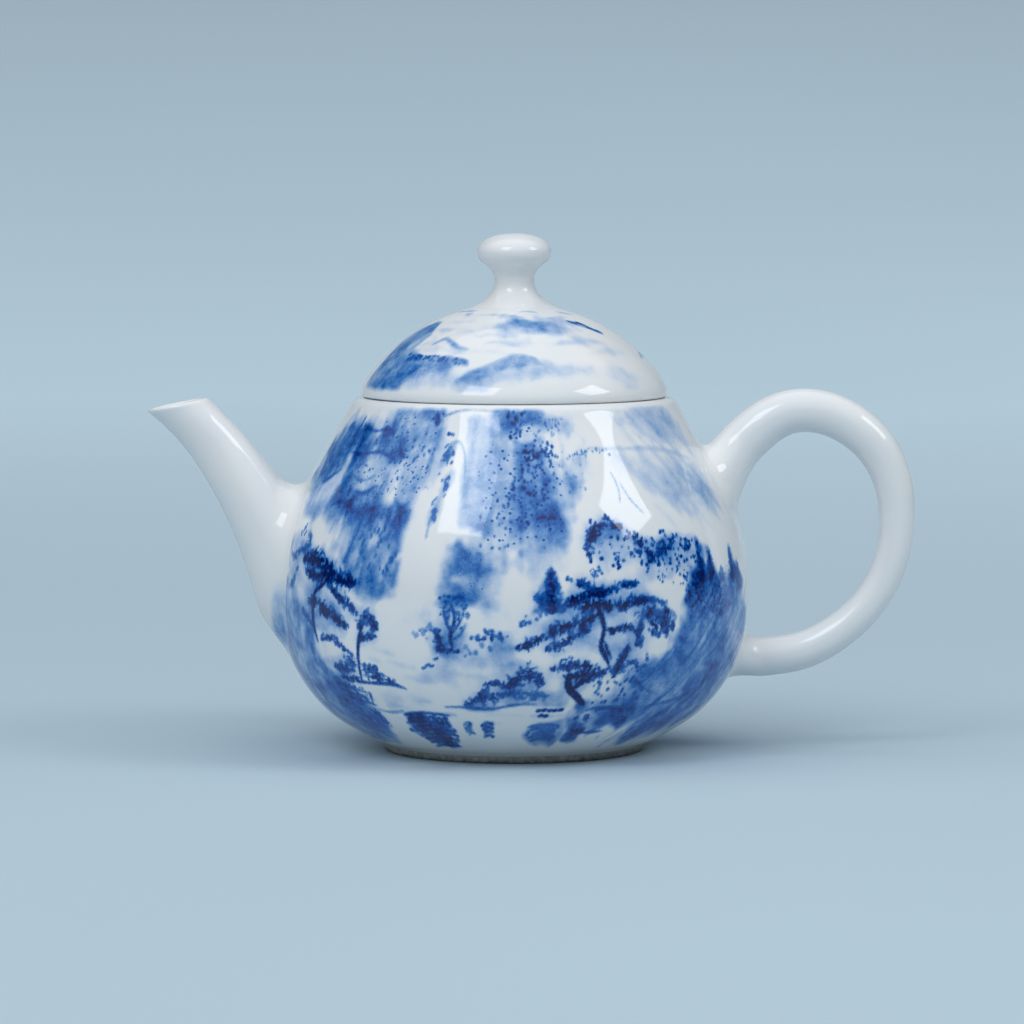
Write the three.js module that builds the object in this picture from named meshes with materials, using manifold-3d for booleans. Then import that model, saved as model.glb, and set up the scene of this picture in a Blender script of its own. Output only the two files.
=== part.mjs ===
// Porcelain teapot: a pear-shaped pot on a low foot ring, a tapered spout with a domed strainer behind
// it, a ring handle, and a domed lid with a locating flange and a knob, which lifts straight off.
//
// Units are millimetres and +Z is up. The spout points to -X and the handle to +X. The origin is on the
// table, midway between the spout's tip and the handle's outer edge, so the pot's own axis lies at
// POT_AXIS_X. The spout, handle and strainer keep JOINT_GAP from the pot, for the slip that lutes them on.
import * as THREE from "three";
import { mergeVertices } from "three/addons/utils/BufferGeometryUtils.js";
import Module from "manifold-3d";

const wasm = await Module();
wasm.setup();

// ---- Driving dimensions ----

const POT_AXIS_X = -3.05;
const JOINT_GAP = 0.3;
const WALL = 2.7; // pot wall

// The pot's outside, as [height, radius], from the foot ring up to the start of the rounded rim.
const POT_OUTLINE = [
  [1.6, 25.1],
  [2.5, 27.3],
  [4, 30.0],
  [7, 34.7],
  [12, 39.4],
  [18, 42.7],
  [25, 44.3],
  [32, 44.6],
  [42, 43.0],
  [52, 38.7],
  [60, 34.2],
  [65.4, 31.2],
];
const RIM_HEIGHT = 67.1;
const RIM_ROUND = [
  [66.3, 30.75],
  [66.85, 30.1],
  [RIM_HEIGHT, 29.3],
];
const MOUTH = { radius: 27.2, depth: 4.2, bevel: 0.4 };
const CAVITY = { from: 4.2, to: 60.5 }; // heights between which the cavity follows the outside
const FLOOR = { height: 4.4, radius: 23 };

const FOOT = { outer: 24.7, inner: 22.0, taper: 0.4, round: 0.35, height: 1.6 };

const LID_OUTLINE = [
  [68.0, 29.05],
  [70.2, 28.25],
  [73.8, 25.5],
  [77.6, 21.4],
  [81.5, 15.4],
  [84.1, 8.3],
];
const LID_WALL = 2.6;
const LID_EDGE = [
  [RIM_HEIGHT, 28.7],
  [RIM_HEIGHT + 0.25, 29.0],
]; // the flat that rests on the pot's rim, and its rounded edge
const LID_HOLLOW = { from: 69.5, to: 82.5 }; // heights between which the hollow follows the outside
const VENT = { radius: 1.2, reach: 13 }; // steam hole, and its distance from the axis

const FLANGE = { outer: 26.5, inner: 24.3, depth: 7.2, taper: 0.35, bevel: 0.5 };

// The knob above its seat on the lid, as [height above the seat, radius].
const KNOB_OUTLINE = [
  [0.0, 8.3],
  [0.7, 6.8],
  [1.9, 5.2],
  [3.2, 4.2],
  [5.0, 3.8],
  [6.6, 4.15],
  [7.7, 5.1],
  [8.8, 6.5],
  [10.3, 7.1],
  [11.9, 6.5],
  [13.2, 4.7],
];
const KNOB_CROWN = [
  [13.8, 2.6],
  [14.0, 0],
];

// The spout's sections from mouth to root: [station, upper x, upper z, lower x, lower z, half width].
// x is measured from the pot's axis.
const SPOUT_SECTIONS = [
  [0, -58.3, 67.0, -69.9, 64.6, 4.9],
  [1, -54.5, 63.2, -64.2, 59.3, 4.95],
  [2, -50.9, 59.3, -58.9, 52.0, 5.3],
  [3, -47.7, 55.5, -53.9, 42.4, 6.6],
  [4, -45.1, 52.3, -48.6, 26.8, 8.8],
];
const SPOUT_WALL = { mouth: 1.4, root: 2.4 };

// A root is an ellipse on the pot's outside. Its half height is signed towards the tube's outer side, and
// reach is how far the fillet follows the tube's direction and the pot's surface.
const SPOUT_ROOT = { z: 34.4, halfHeight: 17.8, halfWidth: 13, reach: 8.5 };
const UPPER_ROOT = { z: 51.1, halfHeight: 8.0, halfWidth: 6.8, reach: 8 };
const LOWER_ROOT = { z: 18.3, halfHeight: -5.4, halfWidth: 5.6, reach: 5 };
const ROOT_EDGE = 0.15; // thickness of a root's thin edge
const SPOUT_HOLE = { z: 38.0, halfHeight: 7.6, halfWidth: 6.0 };

// The handle's centre line from upper root to lower root: [station, x, z, half thickness].
const HANDLE_LINE = [
  [0, 43.7, 58.7, 4.5],
  [1, 47.0, 61.6, 4.4],
  [2, 51.6, 64.0, 4.2],
  [3, 57.4, 64.3, 4.15],
  [4, 63.2, 62.2, 4.1],
  [5, 68.4, 57.8, 3.95],
  [6, 71.8, 51.2, 3.65],
  [7, 72.7, 43.5, 3.4],
  [8, 71.2, 34.8, 3.25],
  [9, 67.2, 27.6, 3.3],
  [10, 61.4, 22.2, 3.45],
  [11, 54.6, 18.7, 3.6],
  [12, 47.4, 17.6, 3.75],
];

const STRAINER = { rim: 9.2, rise: 4.2, wall: 1.6, skirt: 4, inset: 0.6, holeRadius: 1.0 };
const STRAINER_RINGS = [
  { holes: 1, angle: 0 },
  { holes: 6, angle: 22 },
  { holes: 11, angle: 42 },
]; // each ring's holes, and its angle from the dome's axis in degrees

const SIDES = { pot: 48, lid: 40, knob: 24, strainer: 24, spout: 24, handle: 16, hole: 8 };

// ---- Curves and surfaces ----

// A smooth function through rows of [t, value, ...], in cubic pieces, each slope taken from its neighbours.
function curveThrough(rows) {
  const last = rows.length - 1;
  const slopes = rows.map((row, i) => {
    const before = rows[Math.max(i - 1, 0)];
    const after = rows[Math.min(i + 1, last)];
    return row.map((_, k) => (after[k] - before[k]) / (after[0] - before[0]));
  });
  return (t) => {
    let i = 0;
    while (i < last - 1 && t > rows[i + 1][0]) i += 1;
    const span = rows[i + 1][0] - rows[i][0];
    const s = (t - rows[i][0]) / span;
    const keep = (1 + 2 * s) * (1 - s) ** 2;
    return rows[i]
      .map(
        (start, k) =>
          start * keep +
          rows[i + 1][k] * (1 - keep) +
          slopes[i][k] * span * s * (1 - s) ** 2 -
          slopes[i + 1][k] * span * (1 - s) * s ** 2,
      )
      .slice(1);
  };
}

const potRadius = curveThrough(POT_OUTLINE);
const lidRadius = curveThrough(LID_OUTLINE);

// The point of an outline at a height, moved inwards by depth along the outline's normal.
function insetPoint(radiusAt, z, depth) {
  const step = 0.01;
  const slope = (radiusAt(z + step)[0] - radiusAt(z - step)[0]) / (2 * step);
  const length = Math.hypot(1, slope);
  return [radiusAt(z)[0] - depth / length, z + (depth * slope) / length];
}

// Evenly spaced values from a to b, both included.
const spread = (a, b, count) =>
  Array.from({ length: count }, (_, i) => a + ((b - a) * i) / (count - 1));

const between = (a, b, share) => a + (b - a) * share;

// A point on the pot's outside at a height and a sideways distance y, raised off the surface by lift.
// side is -1 for the spout's side and 1 for the handle's.
function onPot(side, y, z, lift) {
  const [radius, height] = insetPoint(potRadius, z, -lift);
  const azimuth = Math.asin(y / radius);
  return new THREE.Vector3(side * radius * Math.cos(azimuth), radius * Math.sin(azimuth), height);
}

// ---- Solids ----

// A profile of [radius, height] points turned round the +Z axis.
function turned(profile, sides) {
  const points = profile.map(([radius, z]) => new THREE.Vector2(radius, z));
  return new THREE.LatheGeometry(points, sides).rotateX(Math.PI / 2);
}

// A skin over rings of equal point counts. It joins its last ring to its first, or ends in two given tips.
function skinned(rings, tips) {
  const count = rings[0].length;
  const points = rings.flat();
  const faces = [];
  const spans = tips ? rings.length - 1 : rings.length;
  for (let i = 0; i < spans; i += 1) {
    const next = (i + 1) % rings.length;
    for (let k = 0; k < count; k += 1) {
      const [a, b] = [i * count + k, i * count + ((k + 1) % count)];
      const [c, d] = [next * count + k, next * count + ((k + 1) % count)];
      faces.push(a, c, b, b, c, d);
    }
  }
  if (tips) {
    const end = (rings.length - 1) * count;
    for (let k = 0; k < count; k += 1) {
      const next = (k + 1) % count;
      faces.push(points.length, k, next);
      faces.push(points.length + 1, end + next, end + k);
    }
    points.push(...tips);
  }
  const geometry = new THREE.BufferGeometry().setFromPoints(points);
  geometry.setIndex(faces);
  return geometry;
}

// A ring of points round an ellipse in the plane of halfAxis and Y.
function ellipseRing(centre, halfAxis, halfWidth, sides) {
  return Array.from({ length: sides }, (_, k) => {
    const angle = (2 * Math.PI * k) / sides;
    const point = centre.clone().addScaledVector(halfAxis, Math.cos(angle));
    point.y += halfWidth * Math.sin(angle);
    return point;
  });
}

// A ring of points round an ellipse drawn on the pot's outside, share times its full size.
function ringOnPot(side, ellipse, share, lift, sides) {
  return Array.from({ length: sides }, (_, k) => {
    const angle = (2 * Math.PI * k) / sides;
    const y = share * ellipse.halfWidth * Math.sin(angle);
    const z = ellipse.z + share * ellipse.halfHeight * Math.cos(angle);
    return onPot(side, y, z, lift);
  });
}

// Rings that carry a tube's last ring onto the pot's surface, leaving the tube along its own direction
// and meeting the pot along the pot's. before is the tube's ring ahead of its last one.
function filletRings(before, last, side, ellipse, steps) {
  const lift = JOINT_GAP + ROOT_EDGE;
  const root = ringOnPot(side, ellipse, 1, lift, last.length);
  const beyond = ringOnPot(side, ellipse, 1.02, lift, last.length);
  return spread(0, 1, steps + 1)
    .slice(1)
    .map((s) =>
      last.map((start, k) => {
        const leave = start.clone().sub(before[k]).setLength(ellipse.reach);
        const arrive = beyond[k].clone().sub(root[k]).setLength(ellipse.reach);
        return start
          .clone()
          .multiplyScalar((1 + 2 * s) * (1 - s) ** 2)
          .addScaledVector(root[k], s * s * (3 - 2 * s))
          .addScaledVector(leave, s * (1 - s) ** 2)
          .addScaledVector(arrive, -(1 - s) * s ** 2);
      }),
    );
}

function toSolid(geometry) {
  const bare = geometry.clone();
  bare.deleteAttribute("normal");
  bare.deleteAttribute("uv");
  const merged = mergeVertices(bare, 1e-4);
  return new wasm.Manifold(
    new wasm.Mesh({
      numProp: 3,
      vertProperties: merged.getAttribute("position").array,
      triVerts: new Uint32Array(merged.getIndex().array),
    }),
  );
}

function toGeometry(solid) {
  const mesh = solid.getMesh();
  const geometry = new THREE.BufferGeometry();
  geometry.setAttribute("position", new THREE.BufferAttribute(mesh.vertProperties, 3));
  geometry.setIndex(new THREE.BufferAttribute(mesh.triVerts, 1));
  return geometry;
}

// ---- Pot ----

// The cavity's outline from the floor's edge up to the mouth, kept margin inside the wall's own face.
function cavityOutline(margin) {
  const heights = spread(CAVITY.from, CAVITY.to, 12);
  return heights.map((z) => insetPoint(potRadius, z, WALL + margin));
}

function potBody() {
  const lowest = POT_OUTLINE.slice(0, 2).map(([z]) => z);
  const outside = [...lowest, ...spread(POT_OUTLINE[2][0], POT_OUTLINE.at(-1)[0], 18)];
  const mouth = [
    [MOUTH.radius + MOUTH.bevel, RIM_HEIGHT],
    [MOUTH.radius, RIM_HEIGHT - MOUTH.bevel],
    [MOUTH.radius, RIM_HEIGHT - MOUTH.depth],
  ];
  const profile = [
    [0, FOOT.height],
    ...outside.map((z) => [potRadius(z)[0], z]),
    ...RIM_ROUND.map(([z, radius]) => [radius, z]),
    ...mouth,
    ...cavityOutline(0).reverse(),
    [FLOOR.radius, FLOOR.height],
    [0, FLOOR.height],
  ];
  const hole = new THREE.CylinderGeometry(1, 1, 30, SIDES.spout)
    .rotateZ(Math.PI / 2)
    .scale(1, SPOUT_HOLE.halfWidth, SPOUT_HOLE.halfHeight)
    .translate(-potRadius(SPOUT_HOLE.z)[0], 0, SPOUT_HOLE.z);
  return toGeometry(toSolid(turned(profile, SIDES.pot)).subtract(toSolid(hole)));
}

function footRing() {
  const { outer, inner, taper, round, height } = FOOT;
  const profile = [
    [inner + round, 0],
    [outer - round, 0],
    [outer, round],
    [outer + taper, height],
    [inner - taper, height],
    [inner, round],
    [inner + round, 0],
  ];
  return turned(profile, SIDES.pot);
}

// A pierced dome that bulges into the pot and covers the hole to the spout.
function strainer() {
  const { rim, rise, wall, skirt, inset, holeRadius } = STRAINER;
  const domeRadius = (rim * rim + rise * rise) / (2 * rise);
  const rimAngle = Math.asin(rim / domeRadius);
  const shell = (radius) =>
    spread(0, rimAngle, 7).map((a) => [radius * Math.sin(a), radius * Math.cos(a)]);
  const inside = shell(domeRadius - wall);
  const outside = shell(domeRadius);
  const [insideRim, outsideRim] = [inside.at(-1), outside.at(-1)];
  const profile = [
    ...inside,
    [insideRim[0], insideRim[1] - skirt],
    [outsideRim[0], outsideRim[1] - skirt],
    ...outside.reverse(),
  ];
  let dome = toSolid(turned(profile, SIDES.strainer));
  for (const { holes, angle } of STRAINER_RINGS) {
    for (let i = 0; i < holes; i += 1) {
      const drill = new THREE.CylinderGeometry(holeRadius, holeRadius, 8, SIDES.hole)
        .rotateX(Math.PI / 2)
        .translate(0, 0, domeRadius)
        .rotateY(THREE.MathUtils.degToRad(angle))
        .rotateZ((2 * Math.PI * i) / holes);
      dome = dome.subtract(toSolid(drill));
    }
  }
  // The skirt runs into the wall, and is cut back to the wall's inner face.
  const wallX = WALL - potRadius(SPOUT_HOLE.z)[0];
  const placed = toGeometry(dome)
    .rotateY(Math.PI / 2)
    .translate(wallX - outsideRim[1] + inset, 0, SPOUT_HOLE.z);
  const cavity = [[0, SPOUT_HOLE.z - 2 * rim], ...cavityOutline(JOINT_GAP), [0, CAVITY.to]];
  return toGeometry(toSolid(placed).intersect(toSolid(turned(cavity, SIDES.pot))));
}

// ---- Spout and handle ----

function spout() {
  const section = curveThrough(SPOUT_SECTIONS);
  const ringAt = (station, wall) => {
    const [upperX, upperZ, lowerX, lowerZ, halfWidth] = section(station);
    const centre = new THREE.Vector3((upperX + lowerX) / 2, 0, (upperZ + lowerZ) / 2);
    const halfAxis = new THREE.Vector3(upperX, 0, upperZ).sub(centre);
    halfAxis.setLength(halfAxis.length() - wall);
    return ellipseRing(centre, halfAxis, halfWidth - wall, SIDES.spout);
  };
  const stations = spread(0, SPOUT_SECTIONS.length - 1, 13);
  const lastStation = stations.at(-1);
  const outside = stations.map((t) => ringAt(t, 0));
  const fillet = filletRings(ringAt(lastStation - 0.05, 0), outside.at(-1), -1, SPOUT_ROOT, 6);
  // The root's face follows the pot from the fillet's edge in to the bore.
  const rootFace = [1, 0.8, 0.6].map((share) =>
    ringOnPot(-1, { ...SPOUT_ROOT, z: between(SPOUT_HOLE.z, SPOUT_ROOT.z, share) },
      share, JOINT_GAP, SIDES.spout),
  );
  const boreMouth = ringOnPot(-1, SPOUT_HOLE, 1, JOINT_GAP, SIDES.spout);
  const bore = stations
    .map((t) => ringAt(t, between(SPOUT_WALL.mouth, SPOUT_WALL.root, t / lastStation)))
    .reverse();
  return skinned([...outside, ...fillet, ...rootFace, boreMouth, ...bore]);
}

function handle() {
  const line = curveThrough(HANDLE_LINE);
  const ringAt = (station) => {
    const [x, z, halfThickness] = line(station);
    const [x2, z2] = line(station + 0.01);
    const across = new THREE.Vector3(z - z2, 0, x2 - x).setLength(halfThickness);
    return ellipseRing(new THREE.Vector3(x, 0, z), across, halfThickness, SIDES.handle);
  };
  const lastStation = HANDLE_LINE.length - 1;
  const tube = spread(0, lastStation, 29).map(ringAt);
  const rootRings = (before, last, ellipse) => [
    ...filletRings(before, last, 1, ellipse, 5),
    ...[1, 0.5].map((share) => ringOnPot(1, ellipse, share, JOINT_GAP, SIDES.handle)),
  ];
  const upper = rootRings(ringAt(0.05), tube[0], UPPER_ROOT);
  const lower = rootRings(ringAt(lastStation - 0.05), tube.at(-1), LOWER_ROOT);
  const tips = [UPPER_ROOT, LOWER_ROOT].map(({ z }) => onPot(1, 0, z, JOINT_GAP));
  return skinned([...upper.reverse(), ...tube, ...lower], tips);
}

// ---- Lid ----

const LID_SEAT = LID_OUTLINE.at(-1); // the flat on the lid that the knob stands on

function lid() {
  const [seatHeight, seatRadius] = LID_SEAT;
  const outside = spread(LID_OUTLINE[0][0], seatHeight, 12).map((z) => [lidRadius(z)[0], z]);
  const inside = spread(LID_HOLLOW.from, LID_HOLLOW.to, 7);
  const edge = LID_EDGE.map(([z, radius]) => [radius, z]);
  const profile = [
    ...edge,
    ...outside,
    [0, seatHeight],
    [0, seatHeight - LID_WALL],
    [seatRadius / 2, seatHeight - LID_WALL],
    ...inside.map((z) => insetPoint(lidRadius, z, LID_WALL)).reverse(),
    [FLANGE.inner, RIM_HEIGHT],
    edge[0],
  ];
  const vent = new THREE.CylinderGeometry(VENT.radius, VENT.radius, 20, 2 * SIDES.hole)
    .rotateX(Math.PI / 2)
    .translate(0, VENT.reach, seatHeight);
  return toGeometry(toSolid(turned(profile, SIDES.lid)).subtract(toSolid(vent)));
}

// The ring under the lid that keeps it centred in the mouth.
function lidFlange() {
  const { outer, inner, depth, taper, bevel } = FLANGE;
  const top = RIM_HEIGHT;
  const bottom = RIM_HEIGHT - depth;
  const profile = [
    [outer, top],
    [inner, top],
    [inner, bottom + bevel],
    [inner + bevel, bottom],
    [outer - taper - bevel, bottom],
    [outer - taper, bottom + bevel],
    [outer, top],
  ];
  return turned(profile, SIDES.lid);
}

function knob() {
  const radiusAt = curveThrough(KNOB_OUTLINE);
  const seatHeight = LID_SEAT[0];
  const side = spread(0, KNOB_OUTLINE.at(-1)[0], 18).map((height) => [height, radiusAt(height)[0]]);
  const outline = [[0, 0], ...side, ...KNOB_CROWN];
  return turned(outline.map(([height, radius]) => [radius, seatHeight + height]), SIDES.knob);
}

// ---- Assembly ----

const glaze = new THREE.MeshStandardMaterial({ color: 0xe6eaec, roughness: 0.12, metalness: 0 });
const biscuit = new THREE.MeshStandardMaterial({ color: 0xcfccc4, roughness: 0.75, metalness: 0 });

function piece(name, geometry, material) {
  geometry.computeVertexNormals();
  const mesh = new THREE.Mesh(geometry, material);
  mesh.name = name;
  return mesh;
}

const pot = new THREE.Group();
pot.add(
  piece("pot_body", potBody(), glaze),
  piece("foot_ring", footRing(), biscuit),
  piece("strainer", strainer(), glaze),
  piece("spout", spout(), glaze),
  piece("handle", handle(), glaze),
);

const lidGroup = new THREE.Group();
lidGroup.add(
  piece("lid", lid(), glaze),
  piece("lid_flange", lidFlange(), glaze),
  piece("knob", knob(), glaze),
);

const teapot = new THREE.Group();
teapot.add(pot, lidGroup);
teapot.position.x = POT_AXIS_X;

export default teapot;
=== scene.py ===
"""A porcelain teapot with an underglaze cobalt landscape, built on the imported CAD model."""

import bpy
import numpy as np
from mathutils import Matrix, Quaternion, Vector


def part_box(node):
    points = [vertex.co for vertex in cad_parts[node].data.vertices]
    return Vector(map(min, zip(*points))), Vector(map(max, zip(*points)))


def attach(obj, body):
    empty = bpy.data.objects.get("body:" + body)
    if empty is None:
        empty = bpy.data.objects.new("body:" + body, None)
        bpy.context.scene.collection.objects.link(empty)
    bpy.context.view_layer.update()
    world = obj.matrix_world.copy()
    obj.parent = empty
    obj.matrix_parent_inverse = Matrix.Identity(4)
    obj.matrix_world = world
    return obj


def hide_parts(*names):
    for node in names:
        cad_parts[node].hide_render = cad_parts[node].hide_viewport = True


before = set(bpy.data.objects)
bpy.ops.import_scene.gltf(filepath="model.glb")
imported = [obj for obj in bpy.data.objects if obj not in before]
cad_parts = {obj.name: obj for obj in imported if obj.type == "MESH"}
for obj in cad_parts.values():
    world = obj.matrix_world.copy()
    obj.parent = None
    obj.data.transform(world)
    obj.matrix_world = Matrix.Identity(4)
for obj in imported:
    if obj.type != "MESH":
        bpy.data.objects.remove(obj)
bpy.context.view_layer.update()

MM = 0.001
POT_X = (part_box("pot_body")[0][0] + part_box("pot_body")[1][0]) / 2  # the pot's own axis, in metres
RIM_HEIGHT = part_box("pot_body")[1][2] / MM
SEAT_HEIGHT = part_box("lid")[1][2] / MM  # where the knob stands on the lid

# ---- Outlines, in millimetres, as (distance from the pot's axis, height above the table) ----

POT_OUTLINE = [
    (24.9, 1.35), (25.7, 1.75), (27.3, 2.5), (30.0, 4.0), (34.7, 7.0), (39.4, 12.0), (42.7, 18.0),
    (44.3, 25.0), (44.6, 32.0), (43.0, 42.0), (38.7, 52.0), (34.2, 60.0), (31.2, 65.4),
    (30.75, 66.2), (30.1, 66.8), (29.3, 67.08), (28.4, RIM_HEIGHT),
]
MOUTH_OUTLINE = [(28.4, RIM_HEIGHT), (27.7, 67.0), (27.25, 66.5), (27.2, 65.6), (27.2, 63.2)]
WALL = 2.7
WALL_TOP = 58.5  # the wall is even up to here, and thickens towards the mouth
FLOOR_OUTLINE = [(29.5, 6.8), (27.5, 5.3), (24.0, 4.5), (19.0, 4.4), (0.0, 4.4)]
FOOT_OUTLINE = [
    (22.3, 0.05), (22.8, 0.0), (24.0, 0.0), (24.45, 0.1), (24.68, 0.4), (24.8, 0.9), (25.0, 1.5),
    (25.4, 2.2), (21.4, 2.2), (21.7, 1.2), (22.0, 0.5),
]
LID_OUTLINE = [
    (8.3, 84.1), (11.9, 82.95), (15.4, 81.5), (21.4, 77.6), (25.5, 73.8), (28.25, 70.2),
    (28.95, 68.6), (29.05, 67.9), (28.9, 67.4), (28.5, 67.17),
]
LID_WALL = 2.6
LID_SEAT = [(27.0, RIM_HEIGHT + 0.05), (24.6, RIM_HEIGHT + 0.1)]  # the flat that rests on the rim
FLANGE_OUTLINE = [
    (26.5, 67.4), (26.4, 64.0), (26.2, 60.5), (25.9, 60.05), (25.4, 59.9), (24.8, 59.95),
    (24.4, 60.3), (24.3, 61.0), (24.3, 67.4),
]
KNOB_OUTLINE = [
    (9.3, -0.45), (8.3, 0.0), (6.8, 0.7), (5.2, 1.9), (4.2, 3.2), (3.8, 5.0), (4.15, 6.6), (5.1, 7.7),
    (6.5, 8.8), (7.1, 10.3), (6.5, 11.9), (4.7, 13.2), (2.6, 13.8), (0.0, 14.0), (-2.6, 13.8),
]  # heights above its seat; the last point only shapes the crown

# ---- Spout and handle, as rows of numbers that vary smoothly along them ----

# Upper x and z, lower x and z, and half width, from the mouth to the root.
SPOUT_SECTIONS = [
    (-58.3, 67.0, -69.9, 64.6, 4.9),
    (-54.5, 63.2, -64.2, 59.3, 4.95),
    (-50.9, 59.3, -58.9, 52.0, 5.3),
    (-47.7, 55.5, -53.9, 42.4, 6.6),
    (-45.1, 52.3, -48.6, 26.8, 8.8),
]
SPOUT_WALL = (1.4, 2.4)
# Centre x and z and half thickness, from the upper root to the lower.
HANDLE_LINE = [
    (43.7, 58.7, 4.5), (47.0, 61.6, 4.4), (51.6, 64.0, 4.2), (57.4, 64.3, 4.15), (63.2, 62.2, 4.1),
    (68.4, 57.8, 3.95), (71.8, 51.2, 3.65), (72.7, 43.5, 3.4), (71.2, 34.8, 3.25), (67.2, 27.6, 3.3),
    (61.4, 22.2, 3.45), (54.6, 18.7, 3.6), (47.4, 17.6, 3.75),
]
# A root is an ellipse on the pot: its height, half height towards the tube's outer side, half width,
# and how far its fillet follows the tube's direction and the pot's surface.
SPOUT_ROOT = (34.4, 17.8, 13.0, 8.5)
UPPER_ROOT = (51.1, 8.0, 10.8, 10.0)
LOWER_ROOT = (18.3, -5.4, 8.1, 6.0)
SPOUT_HOLE = (38.0, 7.6, 6.0, 0.0)
SEAM_DEPTH = 0.03  # how far a fillet's edge sinks into the pot
HIDDEN_DEPTH = 1.2  # how far into the pot's wall a root ends


# ---- Curves ----

def spline(points, count):
    """A function that runs smoothly through rows of numbers, and count even places along it."""
    rows = np.array(points, float)
    place = np.concatenate([[0], np.cumsum(np.linalg.norm(np.diff(rows, axis=0), axis=1))])
    gap = np.diff(place)
    system = np.eye(len(rows))
    right = np.zeros_like(rows)
    slope = np.diff(rows, axis=0) / gap[:, None]
    for i in range(1, len(rows) - 1):
        system[i, i - 1:i + 2] = gap[i - 1], 2 * (gap[i - 1] + gap[i]), gap[i]
        right[i] = 6 * (slope[i] - slope[i - 1])
    bend = np.linalg.solve(system, right)

    def at(where):
        """The rows at places along the line."""
        i = np.clip(np.searchsorted(place, where) - 1, 0, len(gap) - 1)
        after = ((where - place[i]) / gap[i])[:, None]
        before = 1 - after
        square = gap[i][:, None] ** 2 / 6
        return (before * rows[i] + after * rows[i + 1]
                + square * ((before ** 3 - before) * bend[i] + (after ** 3 - after) * bend[i + 1]))

    return at, np.linspace(0, place[-1], count)


def curve(points, count):
    """A count of rows along a smooth line through the points."""
    at, where = spline(points, count)
    return at(where)


def inset(outline, depth):
    """An outline moved to its left by depth."""
    along = np.gradient(outline, axis=0)
    along /= np.linalg.norm(along, axis=1)[:, None]
    return outline + depth * np.stack([-along[:, 1], along[:, 0]], axis=1)


POT_CURVE = curve(POT_OUTLINE, 600)


def on_pot(side, y, z, depth):
    """Points at heights z and sideways distances y, below the pot's outside by depth."""
    sunk = inset(POT_CURVE, depth)
    radius = np.interp(z, sunk[:, 1], sunk[:, 0])
    azimuth = np.arcsin(y / radius)
    return np.stack([side * radius * np.cos(azimuth), radius * np.sin(azimuth), z + 0 * y], axis=-1)


# ---- Skins: vertices in rings, and the faces between them ----

def turned(outline, columns):
    """Rings of points from an outline turned about the pot's axis."""
    angle = np.linspace(0, 2 * np.pi, columns, endpoint=False)
    radius, height = outline[:, :1], outline[:, 1:]
    return np.stack([radius * np.cos(angle), radius * np.sin(angle), height + 0 * angle], axis=-1)


def skin(rings, ends):
    """Vertices and faces of a closed skin. ends is "loop" to join the last ring to the first, or "caps"."""
    rows, columns = rings.shape[:2]
    points = rings.reshape(-1, 3)
    index = np.arange(rows * columns).reshape(rows, columns)
    if ends == "loop":
        index = np.vstack([index, index[:1]])
    beside = np.roll(index, -1, axis=1)
    faces = np.stack([index[:-1], beside[:-1], beside[1:], index[1:]], axis=-1).reshape(-1, 4).tolist()
    if ends == "caps":
        tips = np.stack([rings[0].mean(axis=0), rings[-1].mean(axis=0)])
        first, last = len(points), len(points) + 1
        faces += [[first, b, a] for a, b in zip(index[0].tolist(), beside[0].tolist())]
        faces += [[last, a, b] for a, b in zip(index[-1].tolist(), beside[-1].tolist())]
        points = np.vstack([points, tips])
    return points, faces


def facing_out(points, faces):
    """The faces, turned round if the skin they close is inside out."""
    fan = [(f[0], f[i], f[i + 1]) for f in faces for i in range(1, len(f) - 1)]
    a, b, c = points[np.array(fan)].transpose(1, 0, 2)
    volume = np.einsum("ij,ij->i", a, np.cross(b, c)).sum()
    return faces if volume > 0 else [f[::-1] for f in faces]


def piece(name, shape, material, body, node, paint=None):
    """A smooth piece of the teapot that stands for a CAD node."""
    points, faces = shape
    mesh = bpy.data.meshes.new(name)
    placed = points * MM + np.array([POT_X, 0, 0])
    mesh.from_pydata(placed.tolist(), [], facing_out(points, faces))
    mesh.shade_smooth()
    mesh.materials.append(material)
    if paint is not None:
        layer = mesh.attributes.new("paint", "FLOAT_COLOR", "POINT")
        layer.data.foreach_set("color", paint.astype(np.float32).ravel())
    obj = bpy.data.objects.new(name, mesh)
    bpy.context.scene.collection.objects.link(obj)
    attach(obj, body)
    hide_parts(node)


# ---- Pieces ----

POT_COLUMNS = 960  # fine enough to carry the painting
LID_COLUMNS = 640
VENT_REACH = 13.0  # the vent's place behind the knob
VENT_RADIUS = 1.2
VENT_ROUND = 0.3  # how far the vent's outer edge is rounded, twice as far as its inner edge
VENT_COLUMNS, VENT_ROWS = 12, 5  # half of the window of the lid's grid that the vent takes up
BACK_COLUMN = LID_COLUMNS // 4  # the lid's column in the middle of the vent


def pot_shape():
    """The pot's skin, and which of its points are on its painted outside."""
    wall = inset(POT_CURVE, WALL)
    wall = wall[(wall[:, 1] > FLOOR_OUTLINE[0][1] + 0.5) & (wall[:, 1] < WALL_TOP)]
    shoulder = curve([MOUTH_OUTLINE[-1], (27.6, 62.4), (29.0, 61.0), tuple(wall[-1])], 8)
    floor = curve([tuple(wall[0])] + FLOOR_OUTLINE, 16)
    outside = curve(POT_OUTLINE, 250)
    outline = np.vstack([
        outside,
        curve(MOUTH_OUTLINE, 12)[1:],
        shoulder[1:-1],
        wall[::-14],  # the inside is plain, so few rows will do
        floor[1:-1],
    ])
    points, faces = skin(turned(outline, POT_COLUMNS), "caps")
    return (points, faces), np.arange(len(points)) < len(outside) * POT_COLUMNS


def ellipse_rings(centre, half_axis, half_width, columns):
    """Rings round ellipses, one for each centre, in the planes of half_axis and Y."""
    angle = np.linspace(0, 2 * np.pi, columns, endpoint=False)
    rings = centre[:, None] + half_axis[:, None] * np.cos(angle)[None, :, None]
    rings[:, :, 1] += half_width[:, None] * np.sin(angle)
    return rings


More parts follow.
